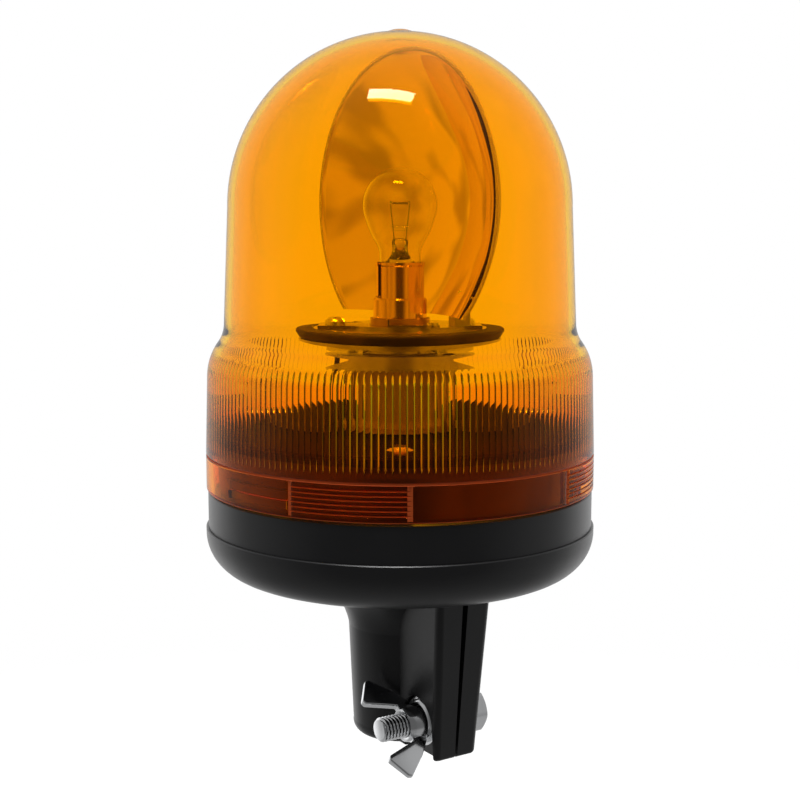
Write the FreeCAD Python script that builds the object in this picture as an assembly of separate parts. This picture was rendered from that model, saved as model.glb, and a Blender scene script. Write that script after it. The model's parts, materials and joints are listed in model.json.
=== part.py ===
import FreeCAD, Part
import math
import os
from FreeCAD import Vector

# Rotating warning beacon for a pole: amber bayonet lens, turning reflector round a fixed
# lamp, friction-wheel motor, and a split socket that a wing nut clamps on the pole.
# Millimetres. +Z up, Z is the pole's axis and z = 0 is the socket's mouth.
# The front of the beacon faces -Y. An azimuth of 0 is the front, and grows towards +X.

os.makedirs("parts", exist_ok=True)

# ---- Driving dimensions ----
POLE_BORE_R = 12.75          # takes a 25 mm pole
POLE_DEPTH = 38.0            # the pole stops on a shoulder here
CONTACT_POCKET_R = 10.5      # pocket above the shoulder, for the pole's own contact
CONTACT_POCKET_TOP = 43.0
SOCKET_R_LOW = 16.0          # the socket tapers down to this at its mouth
SOCKET_R_HIGH = 17.5

EAR_AZIMUTH = 33.0           # direction of the clamp's ears and slit
EAR_REACH_HIGH = 38.7        # from the axis to the ears' edge, under the bowl
EAR_REACH_LOW = 33.5         # the same at the mouth
EAR_THICKNESS_HIGH = 21.0    # both ears and the slit, under the bowl
EAR_THICKNESS_LOW = 16.5
EAR_SEAT = 8.4               # flat seat of the bolt's head washer, from the slit's middle
EAR_FACE = 8.75              # the other ear's face at the bolt
SLIT_HIGH = 2.1
SLIT_LOW = 0.9
BOLT_REACH = 23.5            # bolt axis, from the pole's axis
BOLT_Z = 11.0
BOLT_R = 4.0                 # M8
NUT_RECESS_DEPTH = 3.6
NUT_RECESS_R = 8.7
WASHER_R = 8.0
WASHER_T = 1.6
WING_TILT = -138.6           # of the upper wing, about the bolt

RIM_R = 65.1                 # the bowl's rim, the widest part
RIM_Z = 73.3                 # parting line of bowl and ring
BOWL_WALL = 2.6
BAND_R = 64.3                # visible black band of the base ring
BAND_TOP = 85.6
NECK_R = 60.4                # bayonet neck inside the lens
NECK_WALL = 2.4
DECK_Z = 102.0               # underside of the deck plate
DECK_TOP = 105.0
CARRIER_FLANGE_TOP = 61.4    # insulator of the live pole contact
TERMINAL_Z = CARRIER_FLANGE_TOP + 0.8
LEAD_R = 0.9                 # over the insulation
SCREW_R = 1.75               # shank of the 3.5 mm self-tapping screws
SCREW_RING = 53.5            # base and deck screws lie on this radius
SCREW_AZIMUTHS = (60.0, 180.0, 300.0)

LENS_TOP = 234.7
LENS_R = 56.6                # outside of the dome
LENS_WALL = 2.2
LENS_BOTTOM = 85.9
LUG_AZIMUTHS = (75.0, 195.0, 315.0)
LUG_SPAN = 24.0              # degrees
LUG_CLEARANCE = 0.3
LENS_LUG_TOP = 90.5
LENS_TWIST = 30.0            # from locked to free, anticlockwise from above

TUBE_R = 8.05                # lamp tube, which the turntable also turns on
TUBE_BORE_R = 7.65
TUBE_TOP = 160.3
COLUMN_R = 14.4
COLUMN_TOP = 127.5           # underside of the bearing plate
PLATE_TOP = 129.0
POST_SPOTS = ((-16.4, 14.5), (15.8, -15.5), (15.0, 17.0))
POST_R = 1.6
EARTH_LEAD_HOLE = (-21.5, 6.0)
TURNTABLE_R = 33.9
TURNTABLE_TOP = 138.4
HUB_BOTTOM = 129.7
BUSH_R = 9.9
BUSH_TOP = 141.9
RUNNING_FIT = 0.05
TYRE_R = 34.7
TYRE_TOP = 138.3
BRACKET_T = 1.2
BRACKET_SCREW_X = 21.6
CLIP_RIVET = (10.5, -12.6)   # of the spring clip by the lamp tube

ROLLER_R = 2.6               # friction roller on the motor's shaft
FRICTION_GAP = 0.03          # the tyre's squeeze is left out
MOTOR_Y = TYRE_R + ROLLER_R + FRICTION_GAP
MOTOR_R = 12.0
MOTOR_BOTTOM = 98.0
MOTOR_SCREW_SPOTS = ((-7.5, MOTOR_Y), (7.5, MOTOR_Y))
SHAFT_R = 1.0

FOCUS_Z = 179.7              # filament height, which is the reflector's focus
REFLECTOR_R = 49.0
REFLECTOR_WALL = 1.5
REFLECTOR_BOTTOM = 143.0
REFLECTOR_BACK_TURN = 35.5   # the reflector's back, in degrees from +X towards +Y
FOCAL_LENGTH = REFLECTOR_R / 2
LEG_OFFSET = 17.0            # of the reflector's legs, each side of its middle
LEG_SCREW_BACK = 11.2

BULB_R = 12.5
BULB_TOP = 191.5
CAP_R = 7.4
PIN_Z = 148.0
PIN_TURN = 15.0              # of the lamp's pins from +X, and of their pockets
SLOT_WIDTH = 2.4
SLOT_TURN = 20.0             # from the pin's pocket to the way in
BULB_PUSH = 2.0              # travel against the contact spring


# ---- Helpers ----
def save(node, *solids):
    shape = solids[0] if len(solids) == 1 else Part.makeCompound(list(solids))
    shape.exportStep("parts/" + node + ".step")


def at_azimuth(radius, azimuth, z=0.0):
    angle = math.radians(azimuth)
    return Vector(radius * math.sin(angle), -radius * math.cos(angle), z)


def outline(start, steps):
    """A closed wire in the XZ plane: a step is a corner, or a pair (middle, end) of an arc."""
    edges = []
    here = Vector(start[0], 0, start[1])
    for step in steps + [start]:
        if isinstance(step[0], tuple):
            middle = Vector(step[0][0], 0, step[0][1])
            there = Vector(step[1][0], 0, step[1][1])
            edges.append(Part.Arc(here, middle, there).toShape())
        else:
            there = Vector(step[0], 0, step[1])
            if there.distanceToPoint(here) > 1e-6:
                edges.append(Part.LineSegment(here, there).toShape())
        here = there
    return Part.Wire(edges)


def turned(start, *steps):
    """A solid turned about the Z axis."""
    face = Part.Face(outline(start, list(steps)))
    return face.revolve(Vector(0, 0, 0), Vector(0, 0, 1), 360)


def rod(radius, z_low, z_high, x=0.0, y=0.0):
    return Part.makeCylinder(radius, z_high - z_low, Vector(x, y, z_low))


def ring(r_outer, r_inner, z_low, z_high, x=0.0, y=0.0):
    return rod(r_outer, z_low, z_high, x, y).cut(rod(r_inner, z_low - 1, z_high + 1, x, y))


def block(x_low, x_high, y_low, y_high, z_low, z_high):
    return Part.makeBox(x_high - x_low, y_high - y_low, z_high - z_low,
                        Vector(x_low, y_low, z_low))


def turned_by(shape, degrees):
    copy = shape.copy()
    copy.rotate(Vector(0, 0, 0), Vector(0, 0, 1), degrees)
    return copy


def sector(r_outer, r_inner, z_low, z_high, azimuth, span):
    """Part of a ring, centred on an azimuth."""
    piece = Part.makeCylinder(r_outer, z_high - z_low, Vector(0, 0, z_low), Vector(0, 0, 1), span)
    return turned_by(piece.cut(rod(r_inner, z_low - 1, z_high + 1)), azimuth - 90 - span / 2)


def fused(first, *others):
    return first.fuse(list(others)).removeSplitter()


def pan_head_screw(x, y, seat_z, shank_r, length, head_r, head_h, shank_gap=0.03):
    """Screw pointing down, its head on seat_z, with a cross recess."""
    head = turned((0, seat_z), (head_r, seat_z), (head_r, seat_z + head_h * 0.45),
                  ((head_r * 0.72, seat_z + head_h * 0.9), (0, seat_z + head_h)))
    slot = head_r * 0.62
    depth = seat_z + head_h * 0.55
    top = seat_z + head_h + 1
    recess = block(-slot, slot, -0.3, 0.3, depth, top).fuse(block(-0.3, 0.3, -slot, slot, depth, top))
    shank = rod(shank_r - shank_gap, seat_z - length, seat_z)
    screw = fused(head.cut(recess), shank)
    screw.translate(Vector(x, y, 0))
    return screw


def wire_lead(points, radius):
    """Insulated lead: straight runs joined by arcs as large as the runs allow."""
    points = [Vector(*point) for point in points]
    edges = []
    here = points[0]
    for before, corner, after in zip(points, points[1:], points[2:]):
        run_in = (before - corner)
        run_out = (after - corner)
        turn = math.pi - run_in.getAngle(run_out)
        setback = 0.45 * min(run_in.Length, run_out.Length)
        bend = setback / math.tan(turn / 2)
        toward_before = run_in.normalize()
        toward_after = run_out.normalize()
        start = corner + toward_before * setback
        end = corner + toward_after * setback
        inward = (toward_before + toward_after).normalize()
        centre = corner + inward * math.hypot(bend, setback)
        edges.append(Part.LineSegment(here, start).toShape())
        edges.append(Part.Arc(start, centre - inward * bend, end).toShape())
        here = end
    edges.append(Part.LineSegment(here, points[-1]).toShape())
    path = Part.Wire(edges)
    profile = Part.Wire(Part.makeCircle(radius, points[0], points[1] - points[0]))
    return path.makePipeShell([profile], True, False)


def coil_spring(wire_r, coil_r, z_low, z_high, turns):
    """A contact spring as one closed ring per turn."""
    pitch = (z_high - z_low - 2 * wire_r) / (turns - 1)
    return [Part.makeTorus(coil_r, wire_r, Vector(0, 0, z_low + wire_r + pitch * turn))
            for turn in range(turns)]


def in_clamp(shape):
    """From the clamp's own frame, X along the ears and Y towards the bolt's head."""
    return turned_by(shape, EAR_AZIMUTH - 90)


def clamp_rod(radius, y_low, y_high):
    return Part.makeCylinder(radius, y_high - y_low, Vector(BOLT_REACH, y_low, BOLT_Z),
                             Vector(0, 1, 0))


def in_reflector(shape):
    """From the reflector's own frame, where X points out of its back."""
    return turned_by(shape, REFLECTOR_BACK_TURN)


# ---- Base: bowl, ring, deck ----
def ears():
    """Both clamp ears in one block, thicker and longer under the bowl than at the mouth."""
    top_z = 56.0
    low = EAR_THICKNESS_LOW / 2
    high = EAR_THICKNESS_HIGH / 2
    foot = [Vector(0, -low, 0), Vector(EAR_REACH_LOW, -low, 0), Vector(EAR_REACH_LOW, low, 0),
            Vector(0, low, 0), Vector(0, -low, 0)]
    head = [Vector(0, -high, top_z), Vector(EAR_REACH_HIGH, -high, top_z),
            Vector(EAR_REACH_HIGH, high, top_z), Vector(0, high, top_z), Vector(0, -high, top_z)]
    plate = Part.makeLoft([Part.makePolygon(foot), Part.makePolygon(head)], True, True)
    outer = [edge for edge in plate.Edges
             if min(vertex.X for vertex in edge.Vertexes) > EAR_REACH_LOW - 1
             and abs(edge.Vertexes[0].Z - edge.Vertexes[1].Z) > 1]
    plate = plate.makeFillet(2.2, outer)
    under = [edge for edge in plate.Edges
             if edge.BoundBox.ZMax < 0.01 and edge.BoundBox.XMax > SOCKET_R_LOW]
    return plate.makeFillet(1.4, under)


def slit():
    """Wedge-shaped cut through the socket's wall and, between the ears, up to the bowl."""
    top_z = 54.6
    front = [Vector(0, -SLIT_LOW / 2, -1), Vector(0, SLIT_LOW / 2, -1),
             Vector(0, SLIT_HIGH / 2, top_z), Vector(0, -SLIT_HIGH / 2, top_z),
             Vector(0, -SLIT_LOW / 2, -1)]
    wedge = Part.Face(Part.makePolygon(front)).extrude(Vector(EAR_REACH_HIGH + 5, 0, 0))
    return wedge.cut(block(-1, 16.0, -2, 2, 49.0, top_z + 1))


def nut_recess():
    """Pocket for the washer and wing nut, open at the bottom."""
    y_face = -EAR_FACE
    round_top = clamp_rod(NUT_RECESS_R, y_face - 5, y_face + NUT_RECESS_DEPTH)
    mouth = block(BOLT_REACH - NUT_RECESS_R, BOLT_REACH + NUT_RECESS_R,
                  y_face - 5, y_face + NUT_RECESS_DEPTH, -5, BOLT_Z)
    return round_top.fuse(mouth)


def base_bowl():
    floor_z = 58.4
    bowl = turned((0, 50.0), (19.0, 50.0), ((21.6, 51.6), (26.0, 53.0)), (50.0, 57.0),
                  ((61.4, 61.8), (RIM_R, RIM_Z - 1.5)), (RIM_R, RIM_Z - 0.3),
                  (RIM_R - 0.3, RIM_Z), (RIM_R - 4.2, RIM_Z),
                  ((58.8, 64.6), (49.0, 57.0 + BOWL_WALL)), (36.0, floor_z), (0, floor_z))
    socket = turned((0, 0), (SOCKET_R_LOW - 2.7, 0),
                    ((SOCKET_R_LOW - 0.75, 1.3), (SOCKET_R_LOW, 4.4)), (SOCKET_R_HIGH, 38.0),
                    ((20.0, 45.2), (28.2, 53.5)), (0, 54.0))
    body = fused(bowl, socket, in_clamp(ears()))
    for azimuth in SCREW_AZIMUTHS:
        spot = at_azimuth(SCREW_RING, azimuth)
        body = body.fuse(rod(4.2, 60.0, RIM_Z, spot.x, spot.y))
    body = body.cut(turned((0, -1), (POLE_BORE_R, -1), (POLE_BORE_R, POLE_DEPTH),
                           (CONTACT_POCKET_R, POLE_DEPTH),
                           (CONTACT_POCKET_R, CONTACT_POCKET_TOP), (0, CONTACT_POCKET_TOP)))
    body = body.cut(rod(5.0, CONTACT_POCKET_TOP - 1, 60))
    body = body.cut(in_clamp(slit())).cut(in_clamp(nut_recess()))
    body = body.cut(in_clamp(clamp_rod(WASHER_R + 0.4, EAR_SEAT, EAR_SEAT + 6)))
    body = body.cut(in_clamp(clamp_rod(BOLT_R + 0.2, -20, 20)))
    body = body.cut(ring(63.6, 62.2, RIM_Z - 1.2, RIM_Z + 1))
    body = body.cut(in_clamp(block(-14.2, -12.0, -3.1, 3.1, 8.0, 60.0)))
    for azimuth in SCREW_AZIMUTHS:
        spot = at_azimuth(SCREW_RING, azimuth)
        body = body.cut(rod(SCREW_R, 62.5, RIM_Z + 1, spot.x, spot.y))
    return body.removeSplitter()


def base_gasket():
    return ring(63.55, 62.25, RIM_Z - 1.2, RIM_Z)


def base_ring():
    wall = turned((49.0, RIM_Z), (BAND_R, RIM_Z), (BAND_R, BAND_TOP - 0.6),
                  (BAND_R - 0.6, BAND_TOP), (NECK_R, BAND_TOP), (NECK_R, DECK_Z),
                  (NECK_R - NECK_WALL, DECK_Z), (NECK_R - NECK_WALL, BAND_TOP - 2.6),
                  (BAND_R - 2.6, BAND_TOP - 2.6), (BAND_R - 2.6, RIM_Z + 2.5), (49.0, RIM_Z + 2.5))
    lugs = []
    lug_r = NECK_R + 1.3
    root_r = NECK_R - 0.5
    lug_low = LENS_LUG_TOP + LUG_CLEARANCE
    lug_top = lug_low + 2.6
    stop_low = 87.5
    stop_span = 2.4
    stop_offset = (LUG_SPAN + stop_span) / 2 + 0.4
    for azimuth in LUG_AZIMUTHS:
        lugs.append(sector(lug_r, root_r, lug_low, lug_top, azimuth, LUG_SPAN))
        lugs.append(sector(lug_r, root_r, stop_low, lug_top, azimuth - stop_offset, stop_span))
        open_stop = azimuth + LENS_TWIST + stop_offset
        lugs.append(sector(lug_r, root_r, stop_low, LENS_LUG_TOP, open_stop, stop_span))
    body = fused(wall, *lugs)
    body = body.cut(ring(63.2, 61.2, BAND_TOP - 1.0, BAND_TOP + 1))
    for azimuth in SCREW_AZIMUTHS:
        spot = at_azimuth(SCREW_RING, azimuth)
        deck_spot = at_azimuth(SCREW_RING, azimuth + 60)
        boss = rod(4.6, DECK_Z - 12, DECK_Z, deck_spot.x, deck_spot.y)
        rib = sector(NECK_R - 1, SCREW_RING, DECK_Z - 12, DECK_Z, azimuth + 60, 3.0)
        body = fused(body, boss, rib)
        body = body.cut(rod(SCREW_R, DECK_Z - 10, DECK_Z + 1, deck_spot.x, deck_spot.y))
        body = body.cut(rod(SCREW_R + 0.25, RIM_Z - 1, RIM_Z + 4, spot.x, spot.y))
    return body.removeSplitter()


def base_screws():
    spots = [at_azimuth(SCREW_RING, azimuth) for azimuth in SCREW_AZIMUTHS]
    return [pan_head_screw(spot.x, spot.y, RIM_Z + 2.5, SCREW_R, 12, 3.5, 2.4) for spot in spots]


def lens_seal():
    """Rubber ring that the lens's edge seats on."""
    return turned((61.25, BAND_TOP - 1.0), (63.15, BAND_TOP - 1.0), (63.15, BAND_TOP - 0.1),
                  ((62.2, BAND_TOP + 0.2), (61.25, BAND_TOP - 0.1)))


def deck_plate():
    deck = turned((0, DECK_Z), (NECK_R, DECK_Z), (NECK_R, DECK_TOP - 0.8),
                  (NECK_R - 0.8, DECK_TOP), (0, DECK_TOP))
    deck = deck.cut(rod(TUBE_R - 0.5, DECK_Z - 1, DECK_TOP + 1))
    deck = deck.cut(rod(MOTOR_R + 0.3, DECK_Z - 1, DECK_TOP + 1, 0, MOTOR_Y))
    deck = deck.cut(rod(1.4, DECK_Z - 1, DECK_TOP + 1, *EARTH_LEAD_HOLE))
    for x, y in POST_SPOTS:
        deck = deck.cut(rod(1.25, DECK_Z - 1, DECK_TOP + 1, x, y))
    for azimuth in SCREW_AZIMUTHS:
        spot = at_azimuth(SCREW_RING, azimuth + 60)
        deck = deck.cut(rod(SCREW_R + 0.25, DECK_Z - 1, DECK_TOP + 1, spot.x, spot.y))
    return deck


def deck_screws():
    spots = [at_azimuth(SCREW_RING, azimuth + 60) for azimuth in SCREW_AZIMUTHS]
    return [pan_head_screw(spot.x, spot.y, DECK_TOP, SCREW_R, 11, 3.5, 2.4) for spot in spots]


# ---- Pole contacts ----


def contact_carrier():
    """Insulating guide of the live pole contact, dropped in from the bowl's floor."""
    body = turned((2.05, 46.0), (4.95, 46.0), (4.95, 58.4), (10.0, 58.4), (10.0, CARRIER_FLANGE_TOP),
                  (2.05, CARRIER_FLANGE_TOP))
    return body.cut(rod(4.2, 45.0, 56.0))


def contact_terminal():
    """Brass ring on the carrier, where the live leads are soldered."""
    return ring(8.6, 2.3, CARRIER_FLANGE_TOP, CARRIER_FLANGE_TOP + 0.8)


def pole_plunger():
    """Live contact that the pole's own contact pushes up."""
    return turned((0, POLE_DEPTH + 0.6), (2.4, POLE_DEPTH + 0.6),
                  ((3.4, POLE_DEPTH + 1.0), (3.8, POLE_DEPTH + 2.0)), (3.8, 43.0), (2.0, 43.0),
                  (2.0, 60.0), (0, 60.0))


def earth_strip():
    """Brass strip let into the bore, which bears on the pole's wall."""
    strip = block(-13.9, -13.1, -2.5, 2.5, 9.0, 62.0)
    tab = block(-20.0, -13.1, -2.5, 2.5, 62.0, 62.8)
    return in_clamp(fused(strip, tab))


# ---- Clamp ----
def hexagon_prism(across_flats, y_low, y_high):
    corner_r = across_flats / math.sqrt(3)
    points = []
    for corner in range(7):
        angle = math.radians(60 * corner)
        points.append(Vector(BOLT_REACH + corner_r * math.cos(angle), y_low,
                             BOLT_Z + corner_r * math.sin(angle)))
    return Part.Face(Part.makePolygon(points)).extrude(Vector(0, y_high - y_low, 0))


def clamp_bolt():
    head_under = EAR_SEAT + WASHER_T
    head = hexagon_prism(13.0, head_under, head_under + 5.3)
    dome = Part.makeSphere(13.2, Vector(BOLT_REACH, head_under - 6.4, BOLT_Z))
    shank = clamp_rod(BOLT_R, -22.8, head_under)
    tip = Part.makeCone(BOLT_R, BOLT_R - 0.6, 0.6, Vector(BOLT_REACH, -22.8, BOLT_Z),
                        Vector(0, -1, 0))
    return in_clamp(fused(head.common(dome), shank, tip))


def clamp_washer(y_low):
    hole = clamp_rod(BOLT_R + 0.2, y_low - 1, y_low + WASHER_T + 1)
    return in_clamp(clamp_rod(WASHER_R, y_low, y_low + WASHER_T).cut(hole))


def wing(tilt):
    """One wing, leaning out along the bolt and turned about it by tilt degrees."""
    start = [(3.0, -8.0), (3.0, -14.0), (10.4, -18.2), (11.4, -23.0), (13.8, -24.4),
             (17.0, -22.6), (16.4, -15.8), (12.6, -13.0), (8.0, -9.6), (6.0, -8.0)]
    points = [Vector(BOLT_REACH + x, y, BOLT_Z - 1.5) for x, y in start + start[:1]]
    plate = Part.Face(Part.makePolygon(points)).extrude(Vector(0, 0, 3.0))
    upright = [edge for edge in plate.Edges
               if abs(edge.Vertexes[0].Z - edge.Vertexes[1].Z) > 1 and edge.Vertexes[0].X > BOLT_REACH + 9]
    plate = plate.makeFillet(0.9, upright)
    plate.rotate(Vector(BOLT_REACH, 0, BOLT_Z), Vector(0, 1, 0), tilt)
    return plate


def wing_nut():
    seat = -(EAR_FACE - NUT_RECESS_DEPTH + WASHER_T + 0.02)
    hub = Part.makeCone(6.6, 5.6, 7.6, Vector(BOLT_REACH, seat, BOLT_Z), Vector(0, -1, 0))
    body = fused(hub, wing(WING_TILT), wing(WING_TILT + 180))
    return in_clamp(body.cut(clamp_rod(BOLT_R + 0.05, -40, 0)))


# ---- Lamp column and bearing ----
def frame_posts():
    return [fused(rod(POST_R, DECK_TOP, COLUMN_TOP, x, y), rod(1.2, DECK_Z, DECK_TOP, x, y)).cut(
        rod(0.9, COLUMN_TOP - 8, COLUMN_TOP + 1, x, y)) for x, y in POST_SPOTS]


def post_screws():
    return [pan_head_screw(x, y, PLATE_TOP, 0.9, 8, 2.0, 1.5) for x, y in POST_SPOTS]


def bearing_plate():
    """Steel plate on the posts, which carries the turntable and hangs the motor."""
    disc = rod(25.0, COLUMN_TOP, PLATE_TOP)
    arm = block(-10, 10, 0, MOTOR_Y, COLUMN_TOP, PLATE_TOP)
    motor_pad = rod(11.0, COLUMN_TOP, PLATE_TOP, 0, MOTOR_Y)
    plate = fused(disc, arm, motor_pad)
    plate = plate.cut(rod(TUBE_R, COLUMN_TOP - 1, PLATE_TOP + 1))
    plate = plate.cut(rod(4.1, COLUMN_TOP - 1, PLATE_TOP + 1, 0, MOTOR_Y))
    for x, y in POST_SPOTS + MOTOR_SCREW_SPOTS:
        plate = plate.cut(rod(1.3, COLUMN_TOP - 1, PLATE_TOP + 1, x, y))
    return plate


def lamp_column():
    """Moulded column that the lamp tube is pressed into."""
    return turned((TUBE_R, DECK_TOP), (17.5, DECK_TOP), (17.5, DECK_TOP + 1.6),
                  ((15.0, DECK_TOP + 2.2), (COLUMN_R, DECK_TOP + 4.0)), (COLUMN_R, COLUMN_TOP),
                  (TUBE_R, COLUMN_TOP))


def bayonet_slots():
    """J-slots on both sides of the lamp tube."""
    slots = []
    half = SLOT_WIDTH / 2
    low = PIN_Z - BULB_PUSH - half
    for side in (0, 180):
        pocket = block(TUBE_BORE_R - 1, TUBE_R + 1, -half, half, low, PIN_Z + half)
        way_in = block(TUBE_BORE_R - 1, TUBE_R + 1, -half, half, low, TUBE_TOP + 1)
        channel = Part.makeCylinder(TUBE_R + 1, SLOT_WIDTH, Vector(0, 0, low), Vector(0, 0, 1), SLOT_TURN)
        channel = channel.cut(rod(TUBE_BORE_R - 1, low - 1, low + SLOT_WIDTH + 1))
        piece = pocket.fuse([turned_by(way_in, SLOT_TURN), channel])
        slots.append(turned_by(piece, side + PIN_TURN))
    return slots


def lamp_tube():
    body = turned((TUBE_BORE_R, 112.0), (TUBE_R, 112.0), (TUBE_R, TUBE_TOP - 1.4),
                  (TUBE_R + 0.3, TUBE_TOP - 0.9), (TUBE_R + 0.3, TUBE_TOP), (TUBE_BORE_R, TUBE_TOP))
    for slot in bayonet_slots():
        body = body.cut(slot)
    return body


def holder_collar():
    return turned((TUBE_R, 142.1), (8.95, 142.1), (8.95, 148.0), (8.35, 148.6), (TUBE_R, 148.6))


def plunger_guide():
    """Insulating plug in the lamp tube, which guides the lamp's contact."""
    return turned((2.1, 121.0), (TUBE_BORE_R, 121.0), (TUBE_BORE_R, 127.0), (2.1, 127.0)).cut(
        rod(1.0, 120, 124, 4.8, 0))


def bulb_plunger():
    return turned((0, 118.0), (2.0, 118.0), (2.0, 138.9), (5.4, 138.9), (5.4, 140.0),
                  (3.6, 140.6), (0, 140.6))


# ---- Motor ----
def motor_can():
    can = turned((0, MOTOR_BOTTOM), (MOTOR_R, MOTOR_BOTTOM), (MOTOR_R, COLUMN_TOP - 1.2),
                 ((MOTOR_R - 0.4, COLUMN_TOP - 0.3), (MOTOR_R - 1.2, COLUMN_TOP)), (4.0, COLUMN_TOP),
                 (4.0, COLUMN_TOP + 2.2), (0, COLUMN_TOP + 2.2))
    can = can.cut(rod(SHAFT_R + RUNNING_FIT, MOTOR_BOTTOM - 1, 140))
    can = can.cut(rod(MOTOR_R - 1.0, MOTOR_BOTTOM - 1, COLUMN_TOP - 3.0))
    can.translate(Vector(0, MOTOR_Y, 0))
    for x, y in MOTOR_SCREW_SPOTS:
        can = can.cut(rod(1.05, COLUMN_TOP - 6, COLUMN_TOP + 1, x, y))
    return can


def motor_end_cap():
    cap = turned((SHAFT_R + RUNNING_FIT, MOTOR_BOTTOM - 2.0), (MOTOR_R, MOTOR_BOTTOM - 2.0),
                 (MOTOR_R, MOTOR_BOTTOM), (MOTOR_R - 1.0, MOTOR_BOTTOM),
                 (MOTOR_R - 1.0, MOTOR_BOTTOM + 3.0), (SHAFT_R + RUNNING_FIT, MOTOR_BOTTOM + 3.0))
    cap.translate(Vector(0, MOTOR_Y, 0))
    for terminal in motor_terminals():
        cap = cap.cut(terminal)
    return cap


def motor_terminals():
    return [block(x - 1.2, x + 1.2, MOTOR_Y - 0.3, MOTOR_Y + 0.3, MOTOR_BOTTOM - 7.0, MOTOR_BOTTOM + 1.0)
            for x in (-6.0, 6.0)]


def motor_magnets():
    """Two curved magnets bonded inside the can."""
    shell = ring(MOTOR_R - 1.0, MOTOR_R - 3.6, 104.0, 121.0)
    gap = block(-2.0, 2.0, -MOTOR_R, MOTOR_R, 103.0, 122.0)
    halves = shell.cut(gap).Solids
    for half in halves:
        half.translate(Vector(0, MOTOR_Y, 0))
    return halves


def motor_armature():
    """Three-pole laminated core on the shaft, with a slot between neighbouring poles."""
    core = rod(7.9, 105.0, 120.0).cut(rod(SHAFT_R, 104, 121))
    for pole in range(3):
        notch = block(4.2, 9.0, -0.7, 0.7, 104, 121)
        core = core.cut(turned_by(notch, 120 * pole))
    core.translate(Vector(0, MOTOR_Y, 0))
    return core


def motor_screws():
    return [pan_head_screw(x, y, PLATE_TOP, 1.05, 6, 2.0, 1.5) for x, y in MOTOR_SCREW_SPOTS]


def motor_shaft():
    return rod(SHAFT_R, MOTOR_BOTTOM - 0.6, 139.4, 0, MOTOR_Y)


def friction_roller():
    roller = turned((SHAFT_R, 134.3), (ROLLER_R - 0.3, 134.3), (ROLLER_R, 134.7), (ROLLER_R, 138.4),
                    (ROLLER_R - 0.3, 138.8), (SHAFT_R, 138.8))
    roller.translate(Vector(0, MOTOR_Y, 0))
    return roller


def suppressor_capacitor():
    """Radio suppressor between the motor's terminals."""
    disc_r = 3.4
    disc_t = 2.2
    centre_z = MOTOR_BOTTOM - 5.5
    body = Part.makeCylinder(disc_r, disc_t, Vector(0, MOTOR_Y - disc_t / 2, centre_z), Vector(0, 1, 0))
    legs = [Part.makeCylinder(0.3, 2.0, Vector(side * 2.8, MOTOR_Y, centre_z), Vector(side, 0, 0))
            for side in (-1, 1)]
    return fused(body, *legs)


# ---- Leads inside the housing ----


def lamp_feed_lead():
    return wire_lead([(4.8, 0, 124.0), (4.8, 0, 97.0), (8.5, -5.0, 84.0), (5.4, 0, 71.0),
                      (5.4, 0, TERMINAL_Z)], LEAD_R)


def earth_lead():
    foot = in_clamp(Part.Vertex(-17.5, 0, 62.8)).Point
    return wire_lead([(foot.x, foot.y, 62.8), (foot.x, foot.y, 74.0), (-17.0, 12.0, 88.0),
                      (-21.5, 6.0, 101.0), (-21.2, 6.4, 114.0), (-21.5, 6.0, COLUMN_TOP - 0.1)], LEAD_R)


def motor_live_lead():
    return wire_lead([(6.0, MOTOR_Y - 0.3 - LEAD_R, 94.0), (6.0, MOTOR_Y - 1.5, 82.0), (7.0, 24.0, 74.0),
                      (0.5, 6.0, 70.0), (0.5, 6.0, TERMINAL_Z)], LEAD_R)


def motor_earth_lead():
    foot = in_clamp(Part.Vertex(-18.8, 1.4, 62.8)).Point
    return wire_lead([(-6.0, MOTOR_Y - 0.3 - LEAD_R, 94.0), (-6.5, MOTOR_Y - 2.0, 82.0),
                      (-13.5, 27.0, 76.0), (foot.x, foot.y, 71.0), (foot.x, foot.y, 62.8)], LEAD_R)


# ---- Rotor ----
def turntable():
    rim_low = 132.9
    body = turned((BUSH_R, HUB_BOTTOM), (12.0, HUB_BOTTOM), (12.0, TURNTABLE_TOP - 1.2),
                  (27.5, TURNTABLE_TOP - 1.2), (27.5, rim_low), (TURNTABLE_R, rim_low),
                  (TURNTABLE_R, rim_low + 1.1), (28.9, rim_low + 1.1), (28.9, TURNTABLE_TOP),
                  (BUSH_R, TURNTABLE_TOP))
    for x in (-BRACKET_SCREW_X, BRACKET_SCREW_X):
        body = body.cut(rod(1.75, TURNTABLE_TOP - 5, TURNTABLE_TOP + 1, x, 0))
    for spot in reflector_screw_spots():
        body = body.cut(rod(1.3, TURNTABLE_TOP - 5, TURNTABLE_TOP + 1, spot.x, spot.y))
    return body


def turntable_bush():
    return turned((TUBE_R + RUNNING_FIT, HUB_BOTTOM), (BUSH_R, HUB_BOTTOM), (BUSH_R, BUSH_TOP),
                  (TUBE_R + RUNNING_FIT, BUSH_TOP))


def drive_tyre():
    return turned((29.0, 134.05), (TYRE_R - 1.7, 134.05), (TYRE_R - 0.2, 136.8), (TYRE_R, 137.2),
                  (TYRE_R, 137.9), (TYRE_R - 0.4, TYRE_TOP), (29.0, TYRE_TOP))


def reflector_screw_spots():
    return [in_reflector(Part.Vertex(LEG_SCREW_BACK, side * LEG_OFFSET, 0)).Point for side in (-1, 1)]


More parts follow.
